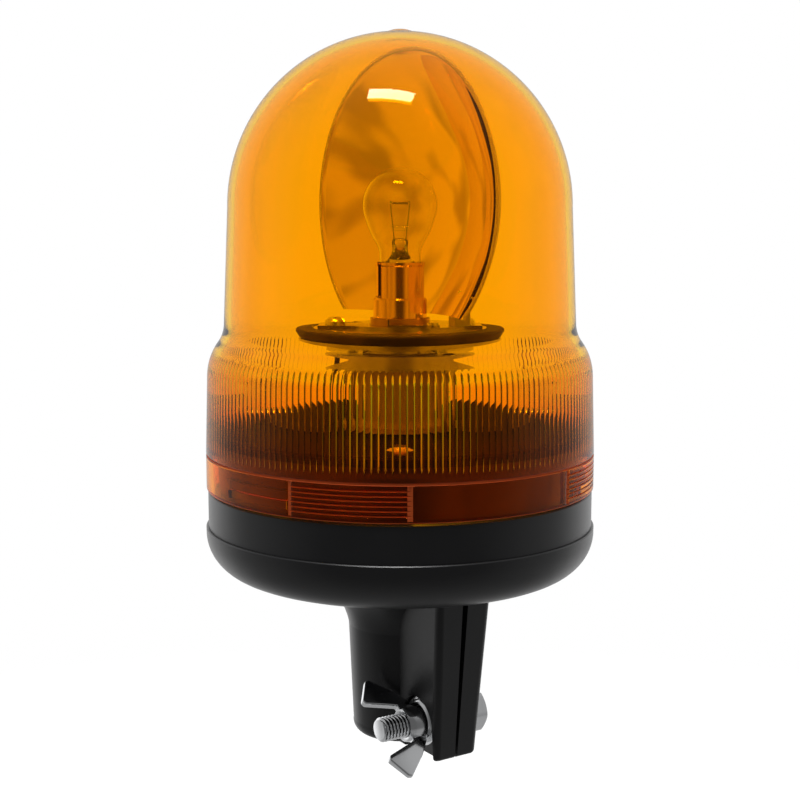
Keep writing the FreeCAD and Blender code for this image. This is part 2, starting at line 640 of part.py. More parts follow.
def reflector_bracket():
    """Flat bar across the turntable, under the reflector's legs."""
    low = TURNTABLE_TOP
    bar = block(-27, 27, -8, 8, low, low + BRACKET_T)
    body = fused(bar, rod(24.0, low, low + BRACKET_T).common(
        in_reflector(block(-4, 24, -22, 22, low, low + BRACKET_T))), rod(17.5, low, low + BRACKET_T))
    body = body.cut(rod(BUSH_R + 0.2, low - 1, low + 3))
    for x in (-BRACKET_SCREW_X, BRACKET_SCREW_X):
        body = body.cut(rod(1.85, low - 1, low + 3, x, 0))
    for spot in reflector_screw_spots():
        body = body.cut(rod(1.3, low - 1, low + 3, spot.x, spot.y))
    return body


def hub_clip():
    """Small spring clip in front of the lamp tube, riveted to the bracket."""
    low = TURNTABLE_TOP + BRACKET_T
    x, y = CLIP_RIVET
    strip = block(x - 14.5, x, y - 1.6, y + 1.6, low, low + 0.6)
    eye = rod(2.4, low, low + 0.6, x, y)
    lip = block(x - 14.5, x - 13.9, y - 1.6, y + 1.6, low, low + 2.6)
    return fused(strip, eye, lip).cut(rod(1.1, low - 1, low + 2, x, y))


def clip_rivet():
    x, y = CLIP_RIVET
    low = TURNTABLE_TOP + BRACKET_T
    return fused(rod(1.1, low, low + 0.6, x, y), rod(1.9, low + 0.6, low + 1.5, x, y))


def bracket_screws():
    return [pan_head_screw(x, 0, TURNTABLE_TOP + BRACKET_T, 1.75, 5.5, 3.5, 2.4)
            for x in (-BRACKET_SCREW_X, BRACKET_SCREW_X)]


def reflector_screws():
    """Screws from below, through turntable and bracket into the reflector's legs."""
    screws = []
    for spot in reflector_screw_spots():
        under = TURNTABLE_TOP - 1.2
        head = rod(2.3, under - 1.6, under, spot.x, spot.y)
        screws.append(fused(head, rod(1.22, under, under + 7.0, spot.x, spot.y)))
    return screws


def paraboloid(depth, radius):
    """The space in front of a paraboloid that opens towards -X, with its rim at x = 0."""
    steps = 10
    points = [Vector(depth * (1 - (step / steps) ** 2), 0, radius * step / steps) for step in range(steps + 1)]
    curve = Part.BSplineCurve()
    curve.interpolate(points)
    back = Part.LineSegment(points[-1], Vector(0, 0, 0)).toShape()
    middle = Part.LineSegment(Vector(0, 0, 0), points[0]).toShape()
    face = Part.Face(Part.Wire([curve.toShape(), back, middle]))
    solid = face.revolve(Vector(0, 0, 0), Vector(1, 0, 0), 360)
    solid.translate(Vector(0, 0, FOCUS_Z))
    return solid


def reflector():
    inside = paraboloid(FOCAL_LENGTH, REFLECTOR_R)
    outside = paraboloid(FOCAL_LENGTH + REFLECTOR_WALL, REFLECTOR_R + REFLECTOR_WALL)
    below = block(-5, 80, -80, 80, 100, REFLECTOR_BOTTOM)
    shell = outside.cut(inside).cut(below)
    foot = TURNTABLE_TOP + BRACKET_T
    for side in (-1, 1):
        middle = side * LEG_OFFSET
        leg = block(8.0, 13.9, middle - 3, middle + 3, foot, 151.0)
        shell = shell.fuse(leg.cut(inside))
    shell = shell.removeSplitter()
    for side in (-1, 1):
        shell = shell.cut(rod(1.25, foot - 1, foot + 5, LEG_SCREW_BACK, side * LEG_OFFSET))
    return in_reflector(shell)


# ---- Lamp ----
def bulb_glass():
    centre = BULB_TOP - BULB_R
    wall = 0.7
    inner = BULB_R - wall
    cos30 = math.cos(math.radians(30))
    cos60 = 0.5
    return turned((0, BULB_TOP), ((BULB_R * cos30, centre + BULB_R * cos60), (BULB_R, centre)),
                  ((BULB_R * 0.94, centre - 4.3), (BULB_R * 0.80, centre - 7.6)),
                  ((7.7, 167.4), (7.0, 163.4)), (7.0, 159.0), (7.0 - wall, 159.0), (7.0 - wall, 163.6),
                  ((7.0, 167.8), (BULB_R * 0.80 - wall, centre - 7.2)),
                  ((BULB_R * 0.94 - wall, centre - 4.1), (inner, centre)),
                  ((inner * cos30, centre + inner * cos60), (0, BULB_TOP - wall)))


def bulb_leads():
    """Two support wires, spreading up to the ends of the filament."""
    leads = []
    for side in (-1, 1):
        foot = Vector(side * 1.9, 0, 162.0)
        tip = Vector(side * 3.1, 0, FOCUS_Z + 0.5)
        leads.append(Part.makeCylinder(0.28, (tip - foot).Length, foot, tip - foot))
    return leads


def bulb_stem():
    """Glass stem with its flat press, and the bead that ties the support wires."""
    flare = turned((0, 159.0), (6.2, 159.0), ((3.6, 161.0), (2.6, 164.5)), (2.6, 168.0), (0, 168.4))
    bead = Part.makeCylinder(0.8, 6.0, Vector(-3.0, 0, 171.5), Vector(1, 0, 0))
    for lead in bulb_leads():
        flare = flare.cut(lead)
        bead = bead.cut(lead)
    return [flare, bead]


def bulb_filament():
    return Part.makeCylinder(0.55, 5.2, Vector(-2.6, 0, FOCUS_Z), Vector(1, 0, 0))


def bulb_cap():
    shell = turned((6.9, 144.9), (CAP_R, 144.9), (CAP_R, 159.6), (7.2, 160.1), (7.02, 160.1),
                   (7.02, 158.8), (6.9, 158.5))
    for side in (0, 180):
        pin = Part.makeCylinder(1.0, 0.95, Vector(7.05, 0, PIN_Z), Vector(1, 0, 0))
        shell = shell.fuse(turned_by(pin, side + PIN_TURN))
    return shell.removeSplitter()


def bulb_insulator():
    return turned((0, 142.6), (4.0, 142.6), ((6.0, 143.4), (6.9, 144.9)), (6.9, 146.0), (0, 146.0))


def bulb_contact():
    return turned((0, 140.7), ((1.8, 141.1), (2.6, 142.6)), (0, 142.6))


# ---- Lens ----
def lens_dome():
    """Dome, flared shoulder and skirt, with three bayonet lugs inside the edge."""
    centre = LENS_TOP - LENS_R
    inner = LENS_R - LENS_WALL
    slope = math.sqrt(0.5)
    gate_r = 4.0
    gate_h = 0.8
    skirt_r = 64.8
    shell = turned((0, LENS_TOP + gate_h), (gate_r, LENS_TOP + gate_h), (gate_r, LENS_TOP - 0.14),
                   ((LENS_R * slope, centre + LENS_R * slope), (LENS_R, centre)), (58.3, 139.8),
                   ((58.9, 136.9), (60.2, 134.5)), ((62.8, 130.2), (64.0, 124.0)),
                   (skirt_r, 98.2), (skirt_r - 0.25, 97.9), (skirt_r - 0.25, 97.3), (skirt_r, 97.0),
                   (skirt_r, LENS_BOTTOM + 0.5), (skirt_r - 0.5, LENS_BOTTOM), (62.4, LENS_BOTTOM),
                   (62.2, 98.0), (61.8, 124.0), ((60.7, 129.0), (58.3, 133.2)),
                   ((56.8, 136.0), (56.1, 139.8)), (inner, centre),
                   ((inner * slope, centre + inner * slope), (0, LENS_TOP - LENS_WALL)))
    lugs = [sector(62.9, NECK_R + 0.4, 88.0, LENS_LUG_TOP, azimuth, LUG_SPAN)
            for azimuth in LUG_AZIMUTHS]
    return fused(shell, *lugs)


# ---- Build ----
save("base_bowl", base_bowl())
save("base_gasket", base_gasket())
save("base_ring", base_ring())
save("base_screws", *base_screws())
save("lens_seal", lens_seal())
save("deck_plate", deck_plate())
save("deck_screws", *deck_screws())
save("contact_carrier", contact_carrier())
save("contact_terminal", contact_terminal())
save("earth_strip", earth_strip())
save("pole_plunger", pole_plunger())
save("pole_plunger_spring", *coil_spring(0.35, 3.1, 43.1, 55.9, 5))
save("clamp_bolt", clamp_bolt())
save("bolt_head_washer", clamp_washer(EAR_SEAT))
save("nut_washer", clamp_washer(-(EAR_FACE - NUT_RECESS_DEPTH + WASHER_T)))
save("wing_nut", wing_nut())
save("frame_posts", *frame_posts())
save("post_screws", *post_screws())
save("bearing_plate", bearing_plate())
save("thrust_washer", ring(12.5, TUBE_R, PLATE_TOP, PLATE_TOP + 0.6))
save("lamp_column", lamp_column())
save("lamp_tube", lamp_tube())
save("holder_collar", holder_collar())
save("plunger_guide", plunger_guide())
save("bulb_plunger", bulb_plunger())
save("bulb_plunger_spring", *coil_spring(0.35, 3.6, 127.1, 138.8, 6))
save("motor_can", motor_can())
save("motor_end_cap", motor_end_cap())
save("motor_terminals", *motor_terminals())
save("motor_magnets", *motor_magnets())
save("motor_armature", motor_armature())
save("motor_screws", *motor_screws())
save("motor_shaft", motor_shaft())
save("friction_roller", friction_roller())
save("suppressor_capacitor", suppressor_capacitor())
save("lamp_feed_lead", lamp_feed_lead())
save("earth_lead", earth_lead())
save("motor_live_lead", motor_live_lead())
save("motor_earth_lead", motor_earth_lead())
save("turntable", turntable())
save("turntable_bush", turntable_bush())
save("drive_tyre", drive_tyre())
save("reflector_bracket", reflector_bracket())
save("hub_clip", hub_clip())
save("clip_rivet", clip_rivet())
save("bracket_screws", *bracket_screws())
save("reflector_screws", *reflector_screws())
save("reflector", reflector())
save("bulb_glass", bulb_glass())
save("bulb_leads", *bulb_leads())
save("bulb_stem", *bulb_stem())
save("bulb_filament", bulb_filament())
save("bulb_cap", bulb_cap())
save("bulb_insulator", bulb_insulator())
save("bulb_contact", bulb_contact())
save("lens_dome", lens_dome())
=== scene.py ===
import json
import math
from functools import partial

import bmesh
import bpy
from bpy.props import FloatProperty, FloatVectorProperty, IntProperty, PointerProperty
from mathutils import Matrix, Vector


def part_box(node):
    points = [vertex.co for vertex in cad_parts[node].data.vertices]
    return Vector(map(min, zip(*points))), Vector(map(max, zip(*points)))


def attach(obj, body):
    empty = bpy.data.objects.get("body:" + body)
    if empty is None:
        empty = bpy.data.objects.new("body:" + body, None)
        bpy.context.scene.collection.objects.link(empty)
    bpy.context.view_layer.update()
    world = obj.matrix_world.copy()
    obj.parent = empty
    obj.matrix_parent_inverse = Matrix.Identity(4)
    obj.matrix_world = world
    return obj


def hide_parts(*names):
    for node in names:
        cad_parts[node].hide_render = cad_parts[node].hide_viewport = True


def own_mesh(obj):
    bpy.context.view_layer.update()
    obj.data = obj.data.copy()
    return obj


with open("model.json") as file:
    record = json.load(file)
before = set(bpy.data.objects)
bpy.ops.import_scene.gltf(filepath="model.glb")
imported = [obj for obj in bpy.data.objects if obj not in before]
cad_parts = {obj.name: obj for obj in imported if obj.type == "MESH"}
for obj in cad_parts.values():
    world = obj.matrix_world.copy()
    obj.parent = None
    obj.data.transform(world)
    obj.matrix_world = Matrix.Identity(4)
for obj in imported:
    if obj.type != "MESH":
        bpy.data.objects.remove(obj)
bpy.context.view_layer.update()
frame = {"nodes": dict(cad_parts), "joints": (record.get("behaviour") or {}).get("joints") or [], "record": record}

bl_info = {
    "name": "Rotating warning beacon",
    "version": (1, 0, 0),
    "blender": (4, 5, 0),
    "location": "3D View > Sidebar > Beacon",
    "description": "Lens, reflector, lamp, clamp and finishes of a rotating warning beacon",
    "category": "Object",
}

MM = 0.001

# ---- Sizes read from the design ----
LENS_LOW, LENS_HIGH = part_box("lens_dome")
SKIRT_RADIUS = (LENS_HIGH.x - LENS_LOW.x) / 2
BULB_LOW, BULB_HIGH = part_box("bulb_glass")
BRACKET_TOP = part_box("reflector_bracket")[1].z
FILAMENT_LOW, FILAMENT_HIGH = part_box("bulb_filament")
FOCUS_Z = (FILAMENT_LOW.z + FILAMENT_HIGH.z) / 2
NUT_SPIN = next(joint for joint in frame["joints"] if joint["name"] == "nut_spin")
BOLT_AXIS = Vector(NUT_SPIN["axis"]).normalized()
BOLT_CENTRE = Vector(NUT_SPIN["pos_m"])


# ---- Heights of the lens, and azimuths of what stands on it ----
BAND_BOTTOM = LENS_LOW.z + 0.7 * MM
BAND_TOP = 98.0 * MM
SKIRT_TOP = 124.0 * MM
SHOULDER_TOP = 139.8 * MM
GATE_HEIGHT = 0.8 * MM
# Centre and half width of each grip panel, in degrees
GRIP_PANELS = ((-14.0, 17.0), (70.0, 17.0), (166.0, 17.0), (250.0, 17.0))
LUG_AZIMUTHS = (75.0, 195.0, 315.0)
LUG_HALF_SPAN = 12.0


# ---- Mesh helpers ----
def link_mesh(name, bm, smooth_below=35.0):
    """Closes off a bmesh as a smooth-shaded object, with creases kept sharp."""
    bmesh.ops.recalc_face_normals(bm, faces=bm.faces)
    mesh = bpy.data.meshes.new(name)
    bm.to_mesh(mesh)
    bm.free()
    mesh.polygons.foreach_set("use_smooth", [True] * len(mesh.polygons))
    mesh.set_sharp_from_angle(angle=math.radians(smooth_below))
    piece = bpy.data.objects.new(name, mesh)
    bpy.context.scene.collection.objects.link(piece)
    return piece


def arc_points(centre, radius, start_deg, end_deg, steps):
    """Points of an arc in the (radius, height) plane, angles from the radius axis."""
    points = []
    for step in range(steps + 1):
        angle = math.radians(start_deg + (end_deg - start_deg) * step / steps)
        points.append((centre[0] + radius * math.cos(angle), centre[1] + radius * math.sin(angle)))
    return points


def curve_points(start, control, end, steps):
    """Points of a quadratic curve, without its first point."""
    points = []
    for step in range(1, steps + 1):
        t = step / steps
        points.append(tuple((1 - t) ** 2 * a + 2 * t * (1 - t) * b + t * t * c
                            for a, b, c in zip(start, control, end)))
    return points


def line_points(start, end, steps):
    """Points of a straight line, without its first point."""
    return [(start[0] + (end[0] - start[0]) * step / steps,
             start[1] + (end[1] - start[1]) * step / steps) for step in range(1, steps + 1)]


def lathe(bm, rows, closed=False):
    """Turns rows of (radius, height, columns, shape) about Z.

    shape is None, or a function of (azimuth, radius, height) that gives the radius there.
    Neighbouring rows may differ in columns by a whole factor. A radius of 0 is a pole."""
    rings = []
    for radius, height, columns, shape in rows:
        if radius <= 0:
            rings.append([bm.verts.new((0, 0, height))])
            continue
        ring = []
        for column in range(columns):
            azimuth = 2 * math.pi * column / columns
            here = shape(azimuth, radius, height) if shape else radius
            ring.append(bm.verts.new((here * math.cos(azimuth), here * math.sin(azimuth), height)))
        rings.append(ring)
    pairs = list(zip(rings, rings[1:]))
    if closed:
        pairs.append((rings[-1], rings[0]))
    for upper, lower in pairs:
        join_rings(bm, upper, lower)


def join_rings(bm, upper, lower):
    if len(upper) == 1 and len(lower) == 1:
        return
    if len(upper) > len(lower):
        upper, lower = lower, upper
    factor = len(lower) // len(upper)
    count = len(upper)
    if count == 1:
        for i in range(len(lower)):
            bm.faces.new((upper[0], lower[i], lower[(i + 1) % len(lower)]))
        return
    for i in range(count):
        edge = [lower[(i * factor + k) % len(lower)] for k in range(factor + 1)]
        bm.faces.new([upper[i]] + edge + [upper[(i + 1) % count]])


def plain_rows(points, columns):
    """Rows for lathe from (radius, height) points, all with the same columns."""
    return [(radius, height, columns, None) for radius, height in points]


def tube_along(bm, points, radius, sides):
    """Round wire along a list of points, with closed ends."""
    points = [Vector(point) for point in points]
    normal = None
    rings = []
    for i, point in enumerate(points):
        ahead = points[min(i + 1, len(points) - 1)]
        behind = points[max(i - 1, 0)]
        along = (ahead - behind).normalized()
        if normal is None:
            normal = along.orthogonal().normalized()
        normal = (normal - along * normal.dot(along)).normalized()
        other = along.cross(normal)
        rings.append([bm.verts.new(point + (normal * math.cos(a) + other * math.sin(a)) * radius)
                      for a in (2 * math.pi * k / sides for k in range(sides))])
    for first, second in zip(rings, rings[1:]):
        for k in range(sides):
            bm.faces.new((first[k], first[(k + 1) % sides], second[(k + 1) % sides], second[k]))
    bm.faces.new(rings[0])
    bm.faces.new(list(reversed(rings[-1])))


def helix_points(radius, low, high, turns, per_turn=20):
    steps = turns * per_turn
    return [(radius * math.cos(2 * math.pi * turns * i / steps),
             radius * math.sin(2 * math.pi * turns * i / steps),
             low + (high - low) * i / steps) for i in range(steps + 1)]


def smoothstep(low, high, value):
    """0 below low, 1 above high, and an eased step between them."""
    t = min(max((value - low) / (high - low), 0.0), 1.0)
    return t * t * (3 - 2 * t)


def bolt_frame():
    """Places a mesh that is modelled along +Z, from the bolt's head to its tip."""
    return Matrix.Translation(BOLT_CENTRE) @ BOLT_AXIS.to_track_quat("Z", "Y").to_matrix().to_4x4()


# ---- Shader node groups ----
def new_group(name, inputs, outputs):
    """An empty group. A colour input has a tuple as its default; "Colour" is a colour output."""
    group = bpy.data.node_groups.new(name, "ShaderNodeTree")
    for label, default in inputs:
        kind = "NodeSocketColor" if isinstance(default, tuple) else "NodeSocketFloat"
        socket = group.interface.new_socket(label, in_out="INPUT", socket_type=kind)
        socket.default_value = default
    for label in outputs:
        kind = "NodeSocketColor" if label == "Colour" else "NodeSocketFloat"
        group.interface.new_socket(label, in_out="OUTPUT", socket_type=kind)
    entry = group.nodes.new("NodeGroupInput")
    leave = group.nodes.new("NodeGroupOutput")
    return group, entry, leave


def math_node(nodes, links, operation, first, second=None):
    node = nodes.new("ShaderNodeMath")
    node.operation = operation
    for socket, value in zip(node.inputs, (first, second)):
        if value is None:
            continue
        if isinstance(value, (int, float)):
            socket.default_value = value
        else:
            links.new(value, socket)
    return node.outputs[0]


def noise_node(nodes, links, vector, scale, detail=3.0):
    node = nodes.new("ShaderNodeTexNoise")
    node.inputs["Detail"].default_value = detail
    links.new(vector, node.inputs["Vector"])
    if isinstance(scale, (int, float)):
        node.inputs["Scale"].default_value = scale
    else:
        links.new(scale, node.inputs["Scale"])
    return node.outputs["Fac"]


def ramp_node(nodes, links, value, low, high, at_low, at_high, smooth=True):
    """Maps a value from low..high to at_low..at_high, and holds it beyond them."""
    node = nodes.new("ShaderNodeMapRange")
    if smooth:
        node.interpolation_type = "SMOOTHSTEP"
    for label, number in (("From Min", low), ("From Max", high), ("To Min", at_low), ("To Max", at_high)):
        node.inputs[label].default_value = number
    links.new(value, node.inputs["Value"])
    return node.outputs[0]


def mix_colours(nodes, links, factor, first, second):
    """Mix of two colours, each a tuple or another node's output."""
    mix = nodes.new("ShaderNodeMix")
    mix.data_type = "RGBA"
    links.new(factor, mix.inputs["Factor"])
    for socket, colour in ((mix.inputs[6], first), (mix.inputs[7], second)):
        if isinstance(colour, tuple):
            socket.default_value = (*colour, 1)
        else:
            links.new(colour, socket)
    return mix.outputs[2]


def object_place(nodes):
    return nodes.new("ShaderNodeTexCoord").outputs["Object"]


def split_node(nodes, links, vector):
    """X, Y and Z of a vector."""
    node = nodes.new("ShaderNodeSeparateXYZ")
    links.new(vector, node.inputs[0])
    return node.outputs


def swing(nodes, links, noise, amount):
    """Noise made to wander about 0."""
    centred = math_node(nodes, links, "SUBTRACT", noise, 0.5)
    return math_node(nodes, links, "MULTIPLY", centred, amount)


def moulded_grain_group():
    """Fine spark-eroded grain of moulded plastic, with broad flow marks."""
    group, entry, leave = new_group("moulded_grain", (("Grain Scale", 2600.0), ("Roughness", 0.4),
                                                      ("Variation", 0.08)), ("Height", "Roughness"))
    nodes, links = group.nodes, group.links
    place = object_place(nodes)
    grain = noise_node(nodes, links, place, entry.outputs["Grain Scale"])
    flow = noise_node(nodes, links, place, 55.0, 2.0)
    links.new(grain, leave.inputs["Height"])
    change = [swing(nodes, links, noise, entry.outputs["Variation"]) for noise in (flow, grain)]
    total = math_node(nodes, links, "ADD", *change)
    total = math_node(nodes, links, "ADD", total, entry.outputs["Roughness"])
    links.new(total, leave.inputs["Roughness"])
    return group


def handling_marks_group():
    """Faint smudges and hairlines that change how sharply a metal reflects."""
    group, entry, leave = new_group("handling_marks", (("Roughness", 0.2), ("Smudge", 0.15),
                                                       ("Hairline", 0.1)), ("Height", "Roughness"))
    nodes, links = group.nodes, group.links
    place = object_place(nodes)
    smudge = noise_node(nodes, links, place, 160.0, 4.0)
    stretch = nodes.new("ShaderNodeMapping")
    stretch.inputs["Scale"].default_value = (9000.0, 350.0, 350.0)
    links.new(place, stretch.inputs["Vector"])
    hairline = noise_node(nodes, links, stretch.outputs["Vector"], 1.0, 2.0)
    links.new(hairline, leave.inputs["Height"])
    total = math_node(nodes, links, "ADD", swing(nodes, links, smudge, entry.outputs["Smudge"]),
                      swing(nodes, links, hairline, entry.outputs["Hairline"]))
    total = math_node(nodes, links, "ADD", total, entry.outputs["Roughness"])
    links.new(math_node(nodes, links, "MAXIMUM", total, 0.02), leave.inputs["Roughness"])
    return group


def turned_lines_group():
    """Concentric lines left by turning or spinning about the Z axis."""
    group, entry, leave = new_group("turned_lines", (("Line Density", 5200.0), ("Roughness", 0.25),
                                                     ("Variation", 0.12)), ("Height", "Roughness"))
    nodes, links = group.nodes, group.links
    maths = partial(math_node, nodes, links)
    x, y, z = split_node(nodes, links, object_place(nodes))
    radius = maths("SQRT", maths("ADD", maths("MULTIPLY", x, x), maths("MULTIPLY", y, y)))
    join = nodes.new("ShaderNodeCombineXYZ")
    links.new(maths("MULTIPLY", radius, entry.outputs["Line Density"]), join.inputs["X"])
    links.new(maths("MULTIPLY", z, entry.outputs["Line Density"]), join.inputs["Y"])
    lines = noise_node(nodes, links, join.outputs[0], 1.0, 2.0)
    links.new(lines, leave.inputs["Height"])
    change = swing(nodes, links, lines, entry.outputs["Variation"])
    links.new(maths("ADD", change, entry.outputs["Roughness"]), leave.inputs["Roughness"])
    return group


def dust_film_group():
    """Thin pale dust that settles on faces that point up."""
    group, entry, leave = new_group("dust_film", (("Amount", 0.15),), ("Mask",))
    nodes, links = group.nodes, group.links
    maths = partial(math_node, nodes, links)
    normal = nodes.new("ShaderNodeNewGeometry").outputs["Normal"]
    upward = maths("MAXIMUM", split_node(nodes, links, normal)["Z"], 0.0)
    patches = noise_node(nodes, links, object_place(nodes), 220.0, 5.0)
    specks = maths("MULTIPLY", patches, upward)
    links.new(maths("MULTIPLY", specks, entry.outputs["Amount"]), leave.inputs["Mask"])
    return group


def mottled_colour_group():
    """Colour that wanders between two close colours."""
    inputs = (("Dark", (0.1, 0.1, 0.1, 1)), ("Light", (0.2, 0.2, 0.2, 1)), ("Scale", 90.0))
    group, entry, leave = new_group("mottled_colour", inputs, ("Colour",))
    nodes, links = group.nodes, group.links
    noise = noise_node(nodes, links, object_place(nodes), entry.outputs["Scale"])
    colour = mix_colours(nodes, links, noise, entry.outputs["Dark"], entry.outputs["Light"])
    links.new(colour, leave.inputs["Colour"])
    return group


GROUP_MAKERS = {
    "mottled_colour": mottled_colour_group,
    "moulded_grain": moulded_grain_group,
    "handling_marks": handling_marks_group,
    "turned_lines": turned_lines_group,
    "dust_film": dust_film_group,
}


def placed_group(nodes, name, **values):
    """A node that holds the named group, made on first use."""
    tree = bpy.data.node_groups.get(name) or GROUP_MAKERS[name]()
    node = nodes.new("ShaderNodeGroup")
    node.node_tree = tree
    for label, value in values.items():
        node.inputs[label.replace("_", " ").title()].default_value = value
    return node


# ---- Materials ----
def blank_material(name):
    """A material with only a Principled shader and its output."""
    material = bpy.data.materials.new(name)
    material.use_nodes = True
    nodes, links = material.node_tree.nodes, material.node_tree.links
    nodes.clear()
    output = nodes.new("ShaderNodeOutputMaterial")
    shader = nodes.new("ShaderNodeBsdfPrincipled")
    links.new(shader.outputs[0], output.inputs["Surface"])
    return material, nodes, links, shader


def add_bump(nodes, links, shader, height, distance):
    bump = nodes.new("ShaderNodeBump")
    bump.inputs["Distance"].default_value = distance
    links.new(height, bump.inputs["Height"])
    links.new(bump.outputs["Normal"], shader.inputs["Normal"])


def mottled_colour(nodes, links, shader, dark, light, scale):
    mottle = placed_group(nodes, "mottled_colour", dark=(*dark, 1), light=(*light, 1), scale=scale)
    links.new(mottle.outputs["Colour"], shader.inputs["Base Color"])
    return mottle.outputs["Colour"]


def moulded_plastic(name, dark, light, roughness, grain_depth=0.00002, dust=0.0, specular=0.5):
    material, nodes, links, shader = blank_material(name)
    grain = placed_group(nodes, "moulded_grain", roughness=roughness)
    links.new(grain.outputs["Roughness"], shader.inputs["Roughness"])
    add_bump(nodes, links, shader, grain.outputs["Height"], grain_depth)
    colour = mottled_colour(nodes, links, shader, dark, light, 90.0)
    if dust:
        film = placed_group(nodes, "dust_film", amount=dust)
        over = mix_colours(nodes, links, film.outputs["Mask"], colour, (0.35, 0.33, 0.3))
        links.new(over, shader.inputs["Base Color"])
    shader.inputs["Specular IOR Level"].default_value = specular
    return material


def worked_metal(name, dark, light, roughness, marks="handling_marks", bump=0.000004):
    material, nodes, links, shader = blank_material(name)
    shader.inputs["Metallic"].default_value = 1.0
    surface = placed_group(nodes, marks, roughness=roughness)
    links.new(surface.outputs["Roughness"], shader.inputs["Roughness"])
    add_bump(nodes, links, shader, surface.outputs["Height"], bump)
    mottled_colour(nodes, links, shader, dark, light, 120.0)
    return material


def clear_material(name, colour, ior, roughness, shadow_colour, glint=(1.0, 1.0, 1.0)):
    """Transmitting material that lets light through to what is behind it."""
    material, nodes, links, shader = blank_material(name)
    shader.inputs["Base Color"].default_value = (*colour, 1)
    shader.inputs["Transmission Weight"].default_value = 1.0
    shader.inputs["IOR"].default_value = ior
    shader.inputs["Roughness"].default_value = roughness
    shader.inputs["Specular Tint"].default_value = (*glint, 1)
    wave = noise_node(nodes, links, object_place(nodes), 45.0, 1.0)
    add_bump(nodes, links, shader, wave, 0.00002)
    through = nodes.new("ShaderNodeBsdfTransparent")
    through.inputs["Color"].default_value = (*shadow_colour, 1)
    mix = nodes.new("ShaderNodeMixShader")
    links.new(nodes.new("ShaderNodeLightPath").outputs["Is Shadow Ray"], mix.inputs[0])
    links.new(shader.outputs[0], mix.inputs[1])
    links.new(through.outputs[0], mix.inputs[2])
    links.new(mix.outputs[0], nodes["Material Output"].inputs["Surface"])
    return material


def black_housing():
    return moulded_plastic("satin_black_housing", (0.010, 0.010, 0.011), (0.016, 0.016, 0.017), 0.36)


def black_deck():
    return moulded_plastic("black_deck_plastic", (0.008, 0.007, 0.007), (0.014, 0.012, 0.012), 0.85,
                           dust=0.01, specular=0.02)


# Brownish plastic, painted lighter than its own colour: the extra lightness is painted light standing in for the
# light the lens's prisms spread onto the column from the sides.
def column_painted_light_plastic():
    return moulded_plastic("column_painted_light_plastic", (0.46, 0.35, 0.28), (0.56, 0.43, 0.35), 0.5)


def seal_rubber():
    return moulded_plastic("seal_rubber", (0.012, 0.012, 0.012), (0.02, 0.02, 0.02), 0.75, 0.00003)


def tyre_rubber():
    return moulded_plastic("drive_tyre_rubber", (0.014, 0.010, 0.008), (0.026, 0.020, 0.016), 0.62,
                           0.00003)


def bright_zinc():
    return worked_metal("bright_zinc", (0.88, 0.89, 0.91), (0.96, 0.97, 0.98), 0.14, bump=0.000006)


def screw_zinc():
    return worked_metal("screw_zinc", (0.66, 0.67, 0.69), (0.80, 0.81, 0.83), 0.25)


def pressed_steel():
    return worked_metal("pressed_steel", (0.40, 0.37, 0.34), (0.54, 0.50, 0.46), 0.2, "turned_lines")


def drawn_motor_can():
    return worked_metal("drawn_motor_can", (0.58, 0.58, 0.56), (0.70, 0.70, 0.68), 0.3)


def core_laminations():
    return worked_metal("core_laminations", (0.22, 0.22, 0.24), (0.36, 0.36, 0.38), 0.45)


def natural_nylon():
    return moulded_plastic("natural_nylon", (0.46, 0.40, 0.32), (0.56, 0.50, 0.42), 0.42)


def nickelled_brass():
    return worked_metal("nickelled_brass", (0.76, 0.50, 0.30), (0.88, 0.62, 0.38), 0.11, "turned_lines")


def contact_brass():
    return worked_metal("contact_brass", (0.70, 0.50, 0.20), (0.82, 0.62, 0.30), 0.24)


def oiled_bronze():
    return worked_metal("oiled_bronze", (0.42, 0.26, 0.12), (0.58, 0.38, 0.20), 0.36, "turned_lines")


def spring_wire():
    return worked_metal("spring_wire", (0.48, 0.49, 0.51), (0.62, 0.63, 0.65), 0.3)


def dark_ferrite():
    return moulded_plastic("dark_ferrite", (0.03, 0.03, 0.033), (0.06, 0.06, 0.063), 0.7)


def capacitor_coat():
    return moulded_plastic("capacitor_coat", (0.42, 0.17, 0.03), (0.55, 0.24, 0.05), 0.3)


def red_insulation():
    return moulded_plastic("red_insulation", (0.36, 0.012, 0.008), (0.48, 0.02, 0.012), 0.4)


def black_insulation():
    return moulded_plastic("black_insulation", (0.012, 0.012, 0.012), (0.02, 0.02, 0.02), 0.4)


def support_wire():
    return worked_metal("support_wire", (0.42, 0.40, 0.38), (0.56, 0.53, 0.50), 0.35)


def tungsten_coil():
    return worked_metal("tungsten_coil", (0.22, 0.21, 0.21), (0.34, 0.33, 0.32), 0.4)


def black_glass():
    return moulded_plastic("black_cap_glass", (0.008, 0.006, 0.010), (0.014, 0.010, 0.016), 0.1)


def tin_solder():
    return worked_metal("tin_solder", (0.52, 0.52, 0.53), (0.68, 0.68, 0.69), 0.35, bump=0.00003)


def mirror_coat():
    """Vacuum-metallised plastic, mirror bright with a trace of flow in the moulding."""
    material, nodes, links, shader = blank_material("mirror_coat")
    shader.inputs["Metallic"].default_value = 1.0
    marks = placed_group(nodes, "handling_marks", roughness=0.04, smudge=0.05, hairline=0.02)
    links.new(marks.outputs["Roughness"], shader.inputs["Roughness"])
    ripple = noise_node(nodes, links, object_place(nodes), 48.0, 1.0)
    add_bump(nodes, links, shader, ripple, 0.00016)
    mottled_colour(nodes, links, shader, (0.92, 0.76, 0.64), (0.98, 0.83, 0.70), 40.0)
    return material


def reflector_back():
    """Uncoated back of the reflector."""
    return moulded_plastic("reflector_back", (0.50, 0.49, 0.47), (0.60, 0.59, 0.57), 0.35)


def lamp_glass():
    return clear_material("lamp_glass", (1.0, 1.0, 1.0), 1.5, 0.0, (0.96, 0.96, 0.96))


